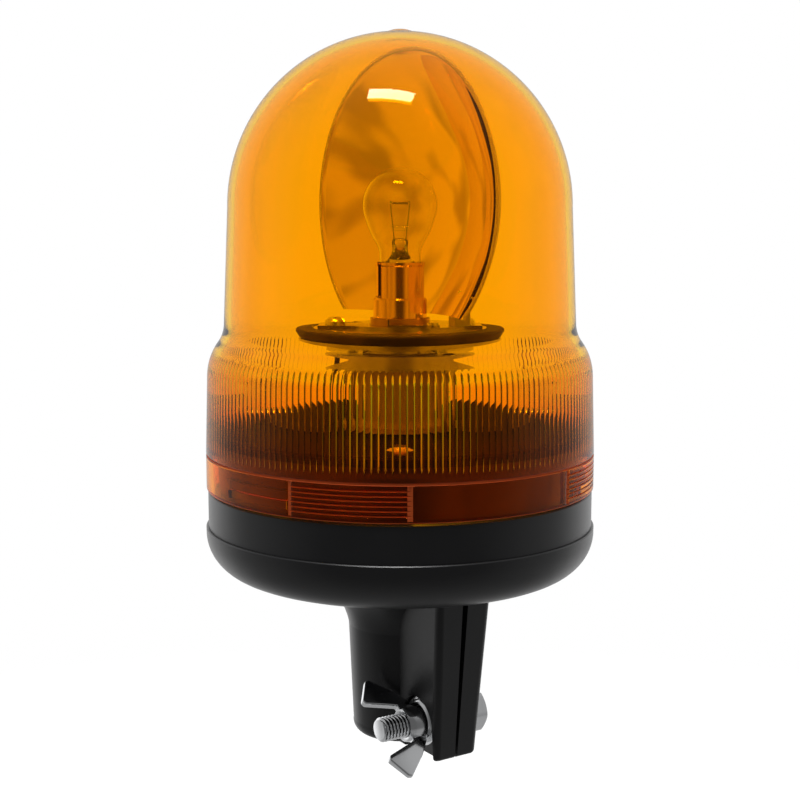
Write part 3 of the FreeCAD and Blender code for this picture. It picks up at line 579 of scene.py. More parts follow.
def amber_lens():
    """Amber polycarbonate, deeper where the skirt's wall is thick or seen edge on."""
    settings = bpy.context.scene.beacon_lens
    tint = tuple(settings.tint)
    glint = (1.0, 0.38, 0.14)
    material = clear_material("amber_polycarbonate", tint, settings.ior, 0.0,
                              tuple(settings.shadow_tint), glint)
    nodes, links = material.node_tree.nodes, material.node_tree.links
    height = split_node(nodes, links, object_place(nodes))["Z"]
    up_skirt = ramp_node(nodes, links, height, BAND_TOP, SKIRT_TOP, 0.0, 1.0)
    by_wall = mix_colours(nodes, links, up_skirt, tuple(settings.skirt_tint), tint)
    grazing = nodes.new("ShaderNodeLayerWeight").outputs["Facing"]
    edge_on = math_node(nodes, links, "POWER", grazing, 4.0)
    colour = mix_colours(nodes, links, edge_on, by_wall, tuple(settings.slant_tint))
    links.new(colour, nodes["Principled BSDF"].inputs["Base Color"])
    return material


def frost_and_painted_highlight():
    """Opaque red-orange plastic: on the grip grooves a painted highlight that draws the ribs' bright lines, on the
    lens's lower edge plastic the mould left unpolished.
    """
    return moulded_plastic("frost_and_painted_highlight", (0.66, 0.10, 0.02), (0.80, 0.15, 0.04), 0.6, specular=0.1)


def thread_root():
    """Near-black metal at the bottom of the thread."""
    return worked_metal("thread_root", (0.05, 0.05, 0.05), (0.11, 0.11, 0.11), 0.5)


FINISHES = {
    "black_housing": black_housing, "black_deck": black_deck, "seal_rubber": seal_rubber,
    "tyre_rubber": tyre_rubber, "zinc_steel": bright_zinc, "screw_steel": screw_zinc,
    "frame_steel": pressed_steel, "motor_steel": drawn_motor_can, "armature_steel": core_laminations,
    "nylon": natural_nylon, "nickelled_brass": nickelled_brass, "brass": contact_brass,
    "bronze": oiled_bronze, "spring_steel": spring_wire, "ferrite": dark_ferrite,
    "capacitor_coat": capacitor_coat, "red_lead": red_insulation, "black_lead": black_insulation,
    "mirror_coat": mirror_coat, "lamp_glass": lamp_glass, "support_wire": support_wire,
    "tungsten": tungsten_coil, "black_glass": black_glass, "solder": tin_solder,
    "amber_lens": amber_lens, "frost_and_painted_highlight": frost_and_painted_highlight, "column_painted_light_plastic": column_painted_light_plastic,
    "thread_root": thread_root, "reflector_back": reflector_back,
}
_made = {}


def finish_of(slot_name):
    """The material of that name in FINISHES, made on first use."""
    if slot_name not in _made:
        _made[slot_name] = FINISHES[slot_name]()
    return _made[slot_name]


def dress(piece, slot_name):
    """Puts a finish on every material slot of a piece."""
    if not piece.material_slots:
        piece.data.materials.append(None)
    for slot in piece.material_slots:
        slot.material = finish_of(slot_name)


def add_finish(piece, slot_name):
    """Adds a finish for some of a piece's faces, and says which index they take."""
    piece.data.materials.append(finish_of(slot_name))
    return len(piece.data.materials) - 1


# ---- Settings ----
class BeaconLensSettings(bpy.types.PropertyGroup):
    tint: FloatVectorProperty(name="Tint", description="Colour taken at each surface of the wall",
                              default=(0.985, 0.565, 0.002), subtype="COLOR", min=0, max=1)
    shadow_tint: FloatVectorProperty(name="Shadow tint", description="Colour of light let through",
                                     default=(0.96, 0.62, 0.05), subtype="COLOR", min=0, max=1)
    skirt_tint: FloatVectorProperty(name="Skirt tint", description="Colour where the wall is thickest",
                                    default=(0.96, 0.26, 0.001), subtype="COLOR", min=0, max=1)
    slant_tint: FloatVectorProperty(name="Slant tint", description="Colour where the wall is seen edge on",
                                    default=(0.985, 0.36, 0.004), subtype="COLOR", min=0, max=1)
    ior: FloatProperty(name="Index", description="Index of refraction of the lens", default=1.5)
    dome_radius: FloatProperty(name="Dome radius", description="Outside radius of the dome",
                               default=0.0566, unit="LENGTH")
    wall: FloatProperty(name="Wall", description="Wall thickness of dome and skirt",
                        default=0.0022, unit="LENGTH")
    prism_count: IntProperty(name="Prisms", description="Upright prisms round the skirt", default=188)
    prism_depth: FloatProperty(name="Prism depth", description="How far a prism stands in",
                               default=0.00034, unit="LENGTH")
    grip_depth: FloatProperty(name="Grip depth", description="Height of the grip panels' ribs",
                              default=0.00045, unit="LENGTH")


class BeaconReflectorSettings(bpy.types.PropertyGroup):
    radius: FloatProperty(name="Rim radius", description="Radius of the mirror's round rim",
                          default=0.049, unit="LENGTH")
    wall: FloatProperty(name="Wall", description="Thickness of the moulding", default=0.0015,
                        unit="LENGTH")
    back_turn: FloatProperty(name="Back turn", description="Where the mirror's back points",
                             default=math.radians(35.5), subtype="ANGLE")
    cut_height: FloatProperty(name="Cut", description="Height of the mirror's flat lower edge",
                              default=0.143, unit="LENGTH")


class BeaconClampSettings(bpy.types.PropertyGroup):
    thread_radius: FloatProperty(name="Thread radius", description="Outside of the M8 thread",
                                 default=0.004, unit="LENGTH")
    pitch: FloatProperty(name="Pitch", description="Thread pitch", default=0.00125, unit="LENGTH")
    across_flats: FloatProperty(name="Across flats", description="Width of the hexagon head",
                                default=0.013, unit="LENGTH")


class BeaconStudioSettings(bpy.types.PropertyGroup):
    distance: FloatProperty(name="Distance", description="Camera to the beacon's middle",
                            default=0.47, unit="LENGTH")
    tilt: FloatProperty(name="Tilt", description="How far the camera looks down",
                        default=math.radians(7.4), subtype="ANGLE")
    aim_height: FloatProperty(name="Aim height", description="Height that the camera looks at",
                              default=0.1142, unit="LENGTH")
    focal_length: FloatProperty(name="Focal length", description="Camera lens, in millimetres",
                                default=63.0)
    light_level: FloatProperty(name="Light level", description="Scales all the studio's lights",
                               default=1.0, min=0)


# ---- Pieces ----
def beacon_azimuth(angle):
    """Degrees from the beacon's front (-Y) towards +X, for an angle about Z."""
    return (math.degrees(angle) + 90.0) % 360.0


def near_azimuth(angle, centre, half):
    """1 inside a sector, 0 outside it, with a one degree edge."""
    off = abs((beacon_azimuth(angle) - centre + 180.0) % 360.0 - 180.0)
    return 1.0 - smoothstep(half - 0.5, half + 0.5, off)


class BEACON_OT_lens(bpy.types.Operator):
    """Make the amber dome, with prisms inside its skirt and grip panels outside its edge"""
    bl_idname = "beacon.lens"
    bl_label = "Lens"

    def execute(self, context):
        settings = context.scene.beacon_lens
        self.columns = 2 * settings.prism_count
        bm = bmesh.new()
        lathe(bm, self.outside(settings) + self.inside(settings))
        lens = link_mesh("amber_lens", bm, 40.0)
        dress(lens, "amber_lens")
        # The grip grooves' finish is a painted highlight, drawn as thin red-orange lines on the ribs.
        self.frost_and_paint_highlights(lens.data, add_finish(lens, "frost_and_painted_highlight"))
        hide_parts("lens_dome")
        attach(lens, "lens")
        return {"FINISHED"}

    def frost_and_paint_highlights(self, mesh, highlight_finish):
        """Grooves of the skirt's band get opaque red-orange as painted highlight lines on the ribs; its lower edge
        came out of the mould less polished.
        """
        for face in mesh.polygons:
            z = face.center.z
            sunk = SKIRT_RADIUS - math.hypot(face.center.x, face.center.y)
            in_groove = BAND_TOP > z > BAND_BOTTOM and 0.10 * MM < sunk < 0.6 * MM
            at_edge = z < LENS_LOW.z + 0.4 * MM and sunk < 0.5 * MM
            if in_groove or at_edge:
                face.material_index = highlight_finish

    def outside(self, settings):
        """Rows from the gate mark at the top down to the edge."""
        gate_flat, gate_r, gate_steps = 1.6 * MM, 6.0 * MM, 12
        radius = settings.dome_radius
        centre = (0.0, LENS_HIGH.z - GATE_HEIGHT - radius)
        points = []
        for step in range(gate_steps):
            r = gate_r * step / gate_steps
            bump = GATE_HEIGHT * (1 - smoothstep(gate_flat, gate_r, r))
            points.append((r, centre[1] + math.sqrt(radius ** 2 - r * r) + bump))
        points += arc_points(centre, radius, math.degrees(math.acos(gate_r / radius)), 0.0, 44)
        dome_foot = (58.3 * MM, SHOULDER_TOP)
        cove = (60.2 * MM, 134.5 * MM)
        skirt_top = (64.0 * MM, SKIRT_TOP)
        skirt_r = SKIRT_RADIUS
        points += line_points((radius, centre[1]), dome_foot, 8)
        points += curve_points(dome_foot, (58.6 * MM, 136.8 * MM), cove, 8)
        points += curve_points(cove, (63.6 * MM, 130.0 * MM), skirt_top, 12)
        points += line_points(skirt_top, (skirt_r, 98.2 * MM), 5)
        points += [(skirt_r - 0.1 * MM, 97.95 * MM), (skirt_r - 0.3 * MM, 97.8 * MM),
                   (skirt_r - 0.3 * MM, 97.4 * MM), (skirt_r - 0.1 * MM, 97.2 * MM)]
        rows = plain_rows(points, self.columns)
        top, bottom = 97.0 * MM, BAND_BOTTOM
        steps, grooves, groove_half, border = 112, 6, 0.24 * MM, 0.6
        spacing = (top - bottom) / (grooves + 1)

        def gripped(azimuth, r, z):
            """Thin grooves across a panel, inside a groove that borders it."""
            panel = max(near_azimuth(azimuth, centre, half) for centre, half in GRIP_PANELS)
            inner = max(near_azimuth(azimuth, centre, half - border) for centre, half in GRIP_PANELS)
            height = (z - bottom) / spacing
            off = abs(height - round(height)) * spacing
            groove = max(0.0, 1.0 - off / groove_half) * (0.5 < height < grooves + 0.5)
            return r - settings.grip_depth * panel * max(groove, 1.0 - inner)

        rows += [(skirt_r, top + (bottom - top) * step / steps, 2 * self.columns, gripped)
                 for step in range(steps + 1)]
        low = LENS_LOW.z
        rows += plain_rows([(skirt_r - 0.05 * MM, low + 0.35 * MM), (skirt_r - 0.2 * MM, low + 0.1 * MM),
                            (skirt_r - 0.5 * MM, low)], self.columns)
        return rows

    def inside(self, settings):
        """Rows from the edge up to the crown, over bayonet lugs and prisms."""
        inner_low = 62.4 * MM
        rows = plain_rows([(inner_low, LENS_LOW.z)], self.columns)
        lug_low, lug_top, lug_r = 88.0 * MM, 90.5 * MM, 60.8 * MM
        lug_edge = 0.05 * MM

        def lugged(azimuth, r, z):
            lug = max(near_azimuth(azimuth, centre, LUG_HALF_SPAN) for centre in LUG_AZIMUTHS)
            return r + (lug_r - r) * lug

        rows += plain_rows([(inner_low, lug_low - lug_edge)], self.columns)
        rows += [(inner_low, lug_low + (lug_top - lug_low) * step / 2, self.columns, lugged)
                 for step in range(3)]
        rows += plain_rows([(inner_low, lug_top + lug_edge), (inner_low - 0.1 * MM, 95.0 * MM),
                            (62.2 * MM, 98.8 * MM)], self.columns)
        prism_low, prism_top = 99.6 * MM, 129.6 * MM
        count = settings.prism_count
        steps = 26
        end = 1.1 * MM

        def prism(azimuth, r, z):
            across = abs(math.sin(azimuth * count / 2))
            reach = 0.85 * smoothstep(0.0, 0.45, across) + 0.15 * across
            fade_in = smoothstep(prism_low, prism_low + end, z)
            fade_out = 1 - smoothstep(prism_top - end, prism_top, z)
            return r - settings.prism_depth * reach * (fade_in * fade_out)

        low_r, shoulder_r = 62.1 * MM, 61.7 * MM
        bend_from, bend_r = 125.0 * MM, 14.0 * MM
        columns_per_prism = 8
        for step in range(steps + 1):
            part = step / steps
            part -= 0.06 * math.sin(2 * math.pi * part)
            height = prism_low + (prism_top - prism_low) * part
            radius = low_r + (shoulder_r - low_r) * smoothstep(0.0, 1.0, part)
            if height > bend_from:
                radius -= (height - bend_from) ** 2 / bend_r
            rows.append((radius, height, count * columns_per_prism, prism))
        top_r = rows[-1][0]
        radius = settings.dome_radius - settings.wall
        centre = (0.0, LENS_HIGH.z - GATE_HEIGHT - settings.dome_radius)
        cove = (57.0 * MM, 135.2 * MM)
        dome_foot = (56.1 * MM, SHOULDER_TOP)
        points = curve_points((top_r, prism_top), (58.6 * MM, 132.4 * MM), cove, 6)
        points += curve_points(cove, (56.2 * MM, 136.8 * MM), dome_foot, 5)
        points += line_points(dome_foot, (radius, centre[1]), 8)
        points += arc_points(centre, radius, 0.0, 88.0, 40)[1:]
        points.append((0.0, centre[1] + radius))
        return rows + plain_rows(points, self.columns)


class BEACON_OT_reflector(bpy.types.Operator):
    """Make the mirror reflector, cut flat at the bottom, with the two legs it stands on"""
    bl_idname = "beacon.reflector"
    bl_label = "Reflector"

    COATED, BARE = 0, 1

    def execute(self, context):
        settings = context.scene.beacon_reflector
        bm = bmesh.new()
        focal = settings.radius / 2
        outer_depth = focal + settings.wall
        outer_radius = settings.radius + settings.wall
        lip = settings.wall / 5
        rings = 40
        columns = 128
        parts = [ring / rings for ring in range(rings + 1)]
        points = [(settings.radius * part, focal * (1 - part ** 2)) for part in parts]
        points += [(settings.radius + lip, -lip / 2), (outer_radius - lip, -lip / 2)]
        points += [(outer_radius * part, outer_depth * (1 - part ** 2)) for part in reversed(parts)]
        lathe(bm, plain_rows(points, columns))
        bm.verts.ensure_lookup_table()
        inner_count = 1 + rings * columns
        inner_verts = set(bm.verts[:inner_count])
        for face in bm.faces:
            coated = all(vert in inner_verts for vert in face.verts)
            face.material_index = self.COATED if coated else self.BARE
        turn = Matrix.Rotation(settings.back_turn, 4, "Z") @ Matrix.Rotation(math.radians(90), 4, "Y")
        bmesh.ops.transform(bm, matrix=Matrix.Translation((0, 0, FOCUS_Z)) @ turn, verts=bm.verts)
        geometry = bm.verts[:] + bm.edges[:] + bm.faces[:]
        bmesh.ops.bisect_plane(bm, geom=geometry, plane_co=(0, 0, settings.cut_height),
                               plane_no=(0, 0, -1), clear_outer=True)
        rim = [edge for edge in bm.edges if edge.is_boundary]
        for face in bmesh.ops.holes_fill(bm, edges=rim, sides=0)["faces"]:
            face.material_index = self.BARE
        for side in (-1, 1):
            self.leg(bm, settings, side)
        mirror = link_mesh("mirror_reflector", bm, 30.0)
        add_finish(mirror, "mirror_coat")
        add_finish(mirror, "reflector_back")
        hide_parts("reflector")
        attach(mirror, "rotor")
        return {"FINISHED"}

    def leg(self, bm, settings, side):
        """Leg that grows out of the reflector's back, down to the bracket."""
        focal = settings.radius / 2
        middle, half = 17.0 * MM * side, 3.0 * MM
        back, top = 13.9 * MM, 151.0 * MM
        turn = Matrix.Rotation(settings.back_turn, 4, "Z")
        steps = 8
        levels = []
        for step in range(steps + 1):
            z = BRACKET_TOP + (top - BRACKET_TOP) * step / steps
            level = []
            for y in (middle - half, middle + half):
                drop = max(FOCUS_Z - max(z, settings.cut_height), 0.0)
                front = focal - (drop ** 2 + y * y) / (4 * focal) + settings.wall * 0.6
                level.append((min(front, back - 0.3 * MM), y, z))
                level.append((back, y, z))
            levels.append([bm.verts.new(turn @ Vector(point)) for point in level])
        faces = []
        for low, high in zip(levels, levels[1:]):
            for a, b in ((0, 1), (1, 3), (3, 2), (2, 0)):
                faces.append(bm.faces.new((low[a], low[b], high[b], high[a])))
        faces.append(bm.faces.new([levels[0][i] for i in (0, 1, 3, 2)]))
        faces.append(bm.faces.new([levels[-1][i] for i in (2, 3, 1, 0)]))
        for face in faces:
            face.material_index = self.BARE


class BEACON_OT_lamp(bpy.types.Operator):
    """Make the lamp's glass, its filament and the wires that hold it"""
    bl_idname = "beacon.lamp"
    bl_label = "Lamp"

    def execute(self, context):
        self.glass()
        self.stem()
        self.filament()
        return {"FINISHED"}

    def glass(self):
        """Pear-shaped envelope with a thin wall, open at the neck inside the cap."""
        radius = (BULB_HIGH.x - BULB_LOW.x) / 2
        centre = BULB_HIGH.z - radius
        wall = 0.6 * MM
        foot = 159.0 * MM
        columns = 96
        bm = bmesh.new()
        points = arc_points((0, centre), radius, 90.0, -20.0, 36)
        neck_r = 7.0 * MM
        waist = (8.2 * MM, 166.6 * MM)
        points += curve_points(points[-1], (radius * 0.83, centre - 9.0 * MM), waist, 10)
        points += curve_points(waist, (neck_r, 164.6 * MM), (neck_r, 162.6 * MM), 6)
        points.append((neck_r, foot))
        inner = [(max(r - wall, 0.0), z if r > 1 * MM else z - wall) for r, z in reversed(points)]
        inner = [(r, min(z, centre + math.sqrt(max((radius - wall) ** 2 - r * r, 0)))) for r, z in inner]
        points[0] = (0.0, BULB_HIGH.z)
        inner[-1] = (0.0, BULB_HIGH.z - wall)
        lathe(bm, plain_rows(points + inner, columns))
        bulb = link_mesh("lamp_envelope", bm, 50.0)
        dress(bulb, "lamp_glass")
        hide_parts("bulb_glass")
        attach(bulb, "bulb")

    def stem(self):
        """Flared stem with a glass bead across the support wires."""
        bm = bmesh.new()
        low = 159.2 * MM
        columns = 48
        flare = ((0.0, 0.0), (6.1, 0.0), (5.9, 0.5), (4.2, 1.8), (2.9, 3.6), (2.5, 5.6))
        rows = plain_rows([(r * MM, low + z * MM) for r, z in flare], columns)

        def pressed(azimuth, r, z):
            """The top of the stem is pinched flat on the wires."""
            flat = smoothstep(low + 4.0 * MM, low + 7.5 * MM, z)
            return r * (1.0 - 0.45 * flat * abs(math.sin(azimuth)))

        for r, z in ((2.6, 6.6), (2.7, 7.6), (2.5, 8.4), (2.0, 8.8), (1.2, 9.0)):
            rows.append((r * MM, low + z * MM, columns, pressed))
        rows += plain_rows([(0.0, low + 9.1 * MM)], columns)
        lathe(bm, rows)
        tube_along(bm, [(x * MM, 0, 171.5 * MM) for x in (-3.2, -2.6, 0, 2.6, 3.2)], 0.85 * MM, 16)
        stem = link_mesh("lamp_stem", bm, 50.0)
        dress(stem, "lamp_glass")
        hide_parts("bulb_stem")
        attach(stem, "bulb")

    def filament(self):
        """Coiled filament, and the two wires that hold its ends."""
        half = (FILAMENT_HIGH.x - FILAMENT_LOW.x) / 2
        coil_r = 0.42 * MM
        turns, per_turn = 13, 14
        steps = turns * per_turn
        points = []
        for i in range(steps + 1):
            angle = 2 * math.pi * turns * i / steps
            points.append((-half + 2 * half * i / steps, coil_r * math.cos(angle),
                           FOCUS_Z + coil_r * math.sin(angle)))
        bm = bmesh.new()
        tube_along(bm, points, 0.09 * MM, 6)
        coil = link_mesh("filament_coil", bm)
        dress(coil, "tungsten")
        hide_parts("bulb_filament")
        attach(coil, "bulb")
        bm = bmesh.new()
        for side in (-1, 1):
            route = [(side * 1.9, 162.0), (side * 2.0, 168.5), (side * 2.3, 171.5), (side * 2.9, 176.5),
                     (side * 3.15, 179.6), (side * 3.1, 180.3), (side * 2.75, 180.2), (side * 2.5, 179.8)]
            tube_along(bm, [(x * MM, 0, z * MM) for x, z in route], 0.2 * MM, 10)
        wires = link_mesh("filament_supports", bm)
        dress(wires, "support_wire")
        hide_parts("bulb_leads")
        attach(wires, "bulb")


class BEACON_OT_springs(bpy.types.Operator):
    """Make the two contact springs as wound wire"""
    bl_idname = "beacon.springs"
    bl_label = "Contact springs"

    def execute(self, context):
        for node, joint, fixed_top, keep in (("bulb_plunger_spring", "bulb_push", False, 0.83),
                                             ("pole_plunger_spring", "pole_contact_push", True, 0.77)):
            low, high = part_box(node)
            wire = 0.35 * MM
            bm = bmesh.new()
            coil_r = (high.x - low.x) / 2 - wire
            tube_along(bm, helix_points(coil_r, low.z + wire, high.z - wire, 6), wire, 8)
            spring = link_mesh(node + "_coil", bm)
            dress(spring, "spring_steel")
            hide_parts(node)
            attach(spring, "base")
            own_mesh(spring)
        return {"FINISHED"}


class BEACON_OT_clamp_hardware(bpy.types.Operator):
    """Make the clamp's threaded bolt and its wing nut"""
    bl_idname = "beacon.clamp_hardware"
    bl_label = "Clamp bolt and wing nut"

    def execute(self, context):
        settings = context.scene.beacon_clamp
        self.bolt(settings)
        self.wing_nut()
        return {"FINISHED"}

    def bolt(self, settings):
        """Hexagon head and rolled thread, along the bolt's own Z axis."""
        head_under, head_height = -10.0 * MM, 5.3 * MM
        tip = 23.4 * MM
        bm = bmesh.new()
        columns = 48
        pitch = settings.pitch
        depth = 0.61 * pitch
        outer = settings.thread_radius

        def threaded(azimuth, r, z):
            phase = (z / pitch - azimuth / (2 * math.pi)) % 1.0
            crest = 1.0 - abs(2.0 * phase - 1.0)
            ridge = min(max((crest - 0.12) / 0.72, 0.0), 1.0)
            run_out = smoothstep(-9.0 * MM, -6.0 * MM, z)
            return min(r, outer - depth * (1.0 - ridge) * run_out)

        rows = [(0.0, tip, columns, None), (outer - 0.9 * MM, tip, columns, None),
                (outer - 0.75 * MM, tip - 0.05 * MM, columns, None)]
        steps_per_pitch = 10
        start = tip - 0.1 * MM
        steps = int((start - head_under) / pitch * steps_per_pitch)
        for step in range(steps + 1):
            z = start - step * pitch / steps_per_pitch
            lead_in = min(outer, outer - 0.7 * MM + (tip - z))
            rows.append((lead_in, z, columns, threaded))
        rows.append((outer, head_under, columns, None))
        lathe(bm, rows)
        self.hexagon_head(bm, settings.across_flats, head_under, head_height)
        bolt = link_mesh("clamp_bolt_threaded", bm, 30.0)
        bolt.data.transform(bolt_frame())
        dress(bolt, "zinc_steel")
        # Faces down in the thread's roots get the near-black metal.
        dark_root_finish = add_finish(bolt, "thread_root")
        inverse = bolt_frame().inverted()
        for face in bolt.data.polygons:
            middle = inverse @ face.center
            on_thread = -7.0 * MM < middle.z < tip - 1.0 * MM
            if on_thread and math.hypot(middle.x, middle.y) < outer - 0.55 * depth:
                face.material_index = dark_root_finish
        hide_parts("clamp_bolt")
        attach(bolt, "base")

    def wing_nut(self):
        """Pressed wing nut: a flanged hub and two broad wings, along the bolt's Z axis."""
        seat = 6.77 * MM
        tilt = math.radians(-138.6)
        profile = ((7.0, 0.0), (7.2, 0.3), (7.2, 1.0), (6.8, 1.35), (6.2, 1.6), (5.9, 5.6), (5.5, 7.2),
                   (5.1, 7.6), (4.6, 7.6), (4.05, 7.2), (4.05, 0.4), (4.5, 0.0))
        bm = bmesh.new()
        lathe(bm, plain_rows([(r * MM, seat + z * MM) for r, z in profile], 64), closed=True)
        outline = ((3.6, 8.2), (3.6, 13.4), (6.6, 13.7), (9.6, 24.2), (11.0, 24.8), (17.6, 20.8),
                   (18.0, 19.4), (12.3, 13.0), (7.6, 9.0))
        radial = Vector((0, 0, 1)).cross(BOLT_AXIS)
        out = radial * math.cos(tilt) - Vector((0, 0, 1)) * math.sin(tilt)
        side = BOLT_AXIS.cross(out)
        turn = Matrix((out, side, BOLT_AXIS)).transposed().to_4x4()
        wings = bmesh.new()
        for way in (1, -1):
            faces = []
            for face in (-1, 1):
                points = [(way * x * MM, face * (1.7 - 0.045 * x) * MM, z * MM) for x, z in outline]
                faces.append([wings.verts.new(point) for point in points])
            front, back = faces
            wings.faces.new(front)
            wings.faces.new(list(reversed(back)))
            for i in range(len(outline)):
                j = (i + 1) % len(outline)
                wings.faces.new((front[j], front[i], back[i], back[j]))
        bmesh.ops.recalc_face_normals(wings, faces=wings.faces)
        bmesh.ops.bevel(wings, geom=wings.edges[:], offset=0.45 * MM, segments=3, profile=0.5,
                        affect="EDGES", clamp_overlap=True)
        hub = link_mesh("wing_nut_hub", bm, 40.0)
        blades = link_mesh("wing_nut_wings", wings, 50.0)
        for piece in (hub, blades):
            piece.data.transform(Matrix.Translation(BOLT_CENTRE) @ turn)
            dress(piece, "zinc_steel")
            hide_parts("wing_nut")
            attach(piece, "wing_nut_body")

    def hexagon_head(self, bm, across_flats, under, height):
        """Head with a washer face below it and corners that are chamfered on top."""
        columns = 72
        flat = across_flats / 2
        washer_face = 0.3 * MM
        round_r = flat * 0.96

        def hexagon(azimuth):
            return flat / math.cos((azimuth % math.radians(60)) - math.radians(30))

        rings = []
        for level in range(6):
            ring = []
            for column in range(columns):
                azimuth = 2 * math.pi * column / columns
                corner = min(hexagon(azimuth), flat * 1.13)
                fall = (corner - round_r) * math.tan(math.radians(28))
                r, z = ((round_r, under), (round_r, under - washer_face),
                        (corner, under - washer_face), (corner, under - height + fall),
                        (round_r, under - height), (round_r * 0.2, under - height))[level]
                ring.append(bm.verts.new((r * math.cos(azimuth), r * math.sin(azimuth), z)))
            rings.append(ring)
        for upper, lower in zip(rings, rings[1:]):
            join_rings(bm, upper, lower)
        bm.faces.new(rings[-1])
        bm.faces.new(rings[0])


class BEACON_OT_finishes(bpy.types.Operator):
    """Give every piece that keeps its designed shape its material"""
    bl_idname = "beacon.finishes"
    bl_label = "Finishes"

    def execute(self, context):
        slots = {part["node"]: part["material_slot"] for part in frame["record"]["subparts"]}
        for node, piece in frame["nodes"].items():
            dress(piece, slots[node])
        # The column gets its brownish plastic painted lighter, as painted light for what the prisms spread onto
        # it.
        dress(frame["nodes"]["lamp_column"], "column_painted_light_plastic")
        return {"FINISHED"}


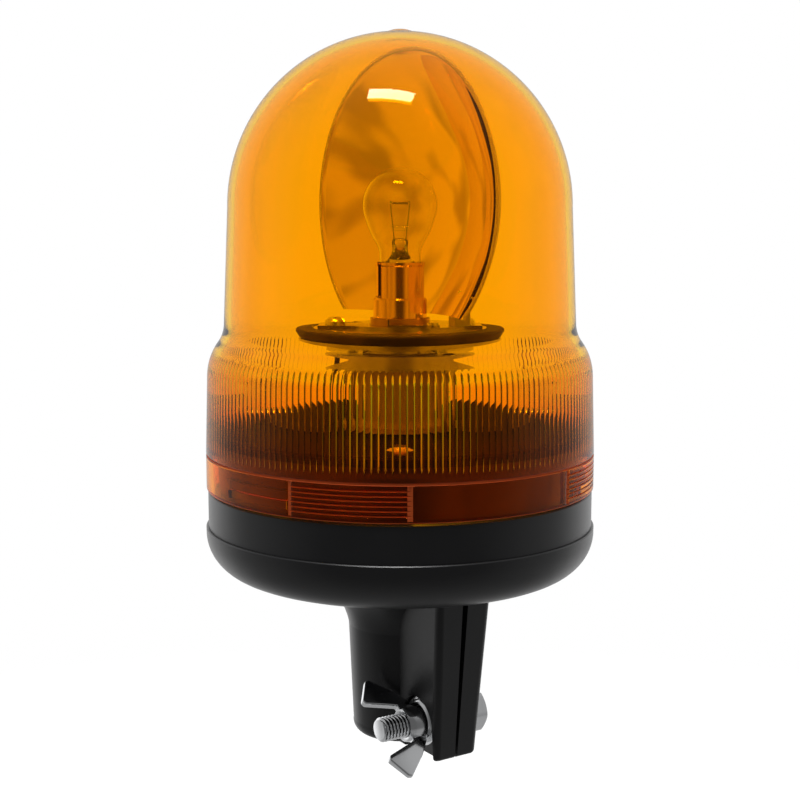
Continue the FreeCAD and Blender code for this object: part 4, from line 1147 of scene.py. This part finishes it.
class BEACON_OT_studio(bpy.types.Operator):
    """Set the pale floor, the soft lights and the camera"""
    bl_idname = "beacon.studio"
    bl_label = "Studio"

    def execute(self, context):
        settings = context.scene.beacon_studio
        self.floor()
        self.world(context.scene, settings.light_level)
        self.lights(settings)
        self.camera(context.scene, settings)
        context.scene.view_settings.view_transform = "Standard"
        return {"FINISHED"}

    def floor(self):
        """Pale round floor that fades into the backdrop."""
        bm = bmesh.new()
        height = -0.30
        lathe(bm, plain_rows([(0.0, height)] + [(0.15 * i, height) for i in range(1, 11)], 96))
        floor = link_mesh("studio_floor", bm)
        material, nodes, links, shader = blank_material("pale_floor")
        shader.inputs["Base Color"].default_value = (0.85, 0.85, 0.85, 1)
        shader.inputs["Roughness"].default_value = 0.8
        shader.inputs["Emission Color"].default_value = (1, 1, 1, 1)
        shader.inputs["Emission Strength"].default_value = 0.75
        length = nodes.new("ShaderNodeVectorMath")
        length.operation = "LENGTH"
        links.new(object_place(nodes), length.inputs[0])
        fade = ramp_node(nodes, links, length.outputs["Value"], 0.35, 1.1, 1.0, 0.0, smooth=False)
        seen = nodes.new("ShaderNodeLightPath").outputs["Is Camera Ray"]
        share = ramp_node(nodes, links, seen, 0.0, 1.0, 0.15, 1.0, smooth=False)
        links.new(math_node(nodes, links, "MULTIPLY", fade, share), shader.inputs["Alpha"])
        floor.data.materials.append(material)

    def world(self, scene, level):
        """Pale backdrop, brighter behind and beside the beacon than in front of it."""
        world = bpy.data.worlds.new("studio")
        scene.world = world
        world.use_nodes = True
        nodes, links = world.node_tree.nodes, world.node_tree.links
        nodes.clear()
        output = nodes.new("ShaderNodeOutputWorld")
        light = nodes.new("ShaderNodeBackground")
        seen = nodes.new("ShaderNodeBackground")
        seen.inputs["Color"].default_value = (1.0, 1.0, 1.0, 1)
        seen.inputs["Strength"].default_value = 1.0
        maths = partial(math_node, nodes, links)
        ramp = partial(ramp_node, nodes, links)
        direction = nodes.new("ShaderNodeTexCoord").outputs["Generated"]
        path = nodes.new("ShaderNodeLightPath")
        split = split_node(nodes, links, direction)
        through = path.outputs["Is Transmission Ray"]
        # Light on the beacon: dim from in front, brighter from the sides, brightest from behind
        sides = ramp(split["Y"], -0.75, -0.05, 0.125, 0.45)
        behind = ramp(split["Y"], 0.22, 0.78, 0.0, 0.90)
        # Reflections in polished plastic and glass show less of the bright wall behind
        mirrored = maths("MULTIPLY", path.outputs["Is Singular Ray"], maths("SUBTRACT", 1.0, through))
        kept = maths("SUBTRACT", 1.0, maths("MULTIPLY", mirrored, 0.8))
        below = ramp(split["Z"], -0.7, -0.42, 0.4, 1.0)
        total = maths("MULTIPLY", maths("ADD", sides, maths("MULTIPLY", behind, kept)), below)
        # What is met through the lens or the lamp glass: pale walls with soft darker panels
        front = ramp(split["Y"], -1.0, -0.86, 0.12, 0.84)
        inside = maths("ADD", front, ramp(split["Y"], -0.8, 0.5, 0.0, 0.20))
        panels = ramp(noise_node(nodes, links, direction, 2.6, 1.0), 0.36, 0.56, 0.66, 1.18)
        inside = maths("MULTIPLY", maths("MULTIPLY", inside, panels), through)
        total = maths("MAXIMUM", total, inside)
        links.new(maths("MULTIPLY", total, level), light.inputs["Strength"])
        mix = nodes.new("ShaderNodeMixShader")
        links.new(path.outputs["Is Camera Ray"], mix.inputs[0])
        links.new(light.outputs[0], mix.inputs[1])
        links.new(seen.outputs[0], mix.inputs[2])
        links.new(mix.outputs[0], output.inputs["Surface"])

    def lights(self, settings):
        """Soft box overhead, a little in front."""
        place = Vector((-0.06, -0.22, 0.92))
        data = bpy.data.lights.new("top_soft_box", "AREA")
        data.shape = "RECTANGLE"
        data.size, data.size_y = 0.31, 0.10
        data.energy = 4.4 * settings.light_level
        light = bpy.data.objects.new("top_soft_box", data)
        light.location = place
        down = Vector((0, 0, settings.aim_height)) - place
        light.rotation_euler = down.to_track_quat("-Z", "Y").to_euler()
        bpy.context.scene.collection.objects.link(light)

    def camera(self, scene, settings):
        """Camera in front, which looks down a little."""
        data = bpy.data.cameras.new("studio_camera")
        data.lens = settings.focal_length
        data.sensor_width = 36.0
        data.clip_start = 0.01
        camera = bpy.data.objects.new("studio_camera", data)
        aim = Vector((0, 0, settings.aim_height))
        away = Vector((0, -math.cos(settings.tilt), math.sin(settings.tilt)))
        camera.location = aim + away * settings.distance
        camera.rotation_euler = (-away).to_track_quat("-Z", "Y").to_euler()
        scene.collection.objects.link(camera)
        scene.camera = camera


class BEACON_PT_sidebar(bpy.types.Panel):
    """Lists the beacon's pieces in the sidebar"""
    bl_idname = "BEACON_PT_sidebar"
    bl_label = "Beacon"
    bl_space_type = "VIEW_3D"
    bl_region_type = "UI"
    bl_category = "Beacon"

    def draw(self, context):
        for operator in OPERATORS:
            self.layout.operator(operator.bl_idname)
        for name in SETTINGS:
            settings = getattr(context.scene, name)
            for field in settings.bl_rna.properties.keys():
                if field not in {"rna_type", "name"}:
                    self.layout.prop(settings, field)


OPERATORS = (BEACON_OT_finishes, BEACON_OT_lens, BEACON_OT_reflector, BEACON_OT_lamp,
             BEACON_OT_springs, BEACON_OT_clamp_hardware, BEACON_OT_studio)
SETTINGS = {
    "beacon_lens": BeaconLensSettings,
    "beacon_reflector": BeaconReflectorSettings,
    "beacon_clamp": BeaconClampSettings,
    "beacon_studio": BeaconStudioSettings,
}


def register():
    for group in SETTINGS.values():
        bpy.utils.register_class(group)
    for name, group in SETTINGS.items():
        setattr(bpy.types.Scene, name, PointerProperty(type=group))
    for operator in OPERATORS:
        bpy.utils.register_class(operator)
    bpy.utils.register_class(BEACON_PT_sidebar)


def unregister():
    bpy.utils.unregister_class(BEACON_PT_sidebar)
    for operator in reversed(OPERATORS):
        bpy.utils.unregister_class(operator)
    for name, group in SETTINGS.items():
        delattr(bpy.types.Scene, name)
        bpy.utils.unregister_class(group)


def main():
    register()
    bpy.ops.beacon.finishes()
    bpy.ops.beacon.lens()
    bpy.ops.beacon.reflector()
    bpy.ops.beacon.lamp()
    bpy.ops.beacon.springs()
    bpy.ops.beacon.clamp_hardware()
    bpy.ops.beacon.studio()


if __name__ == "__main__":
    main()
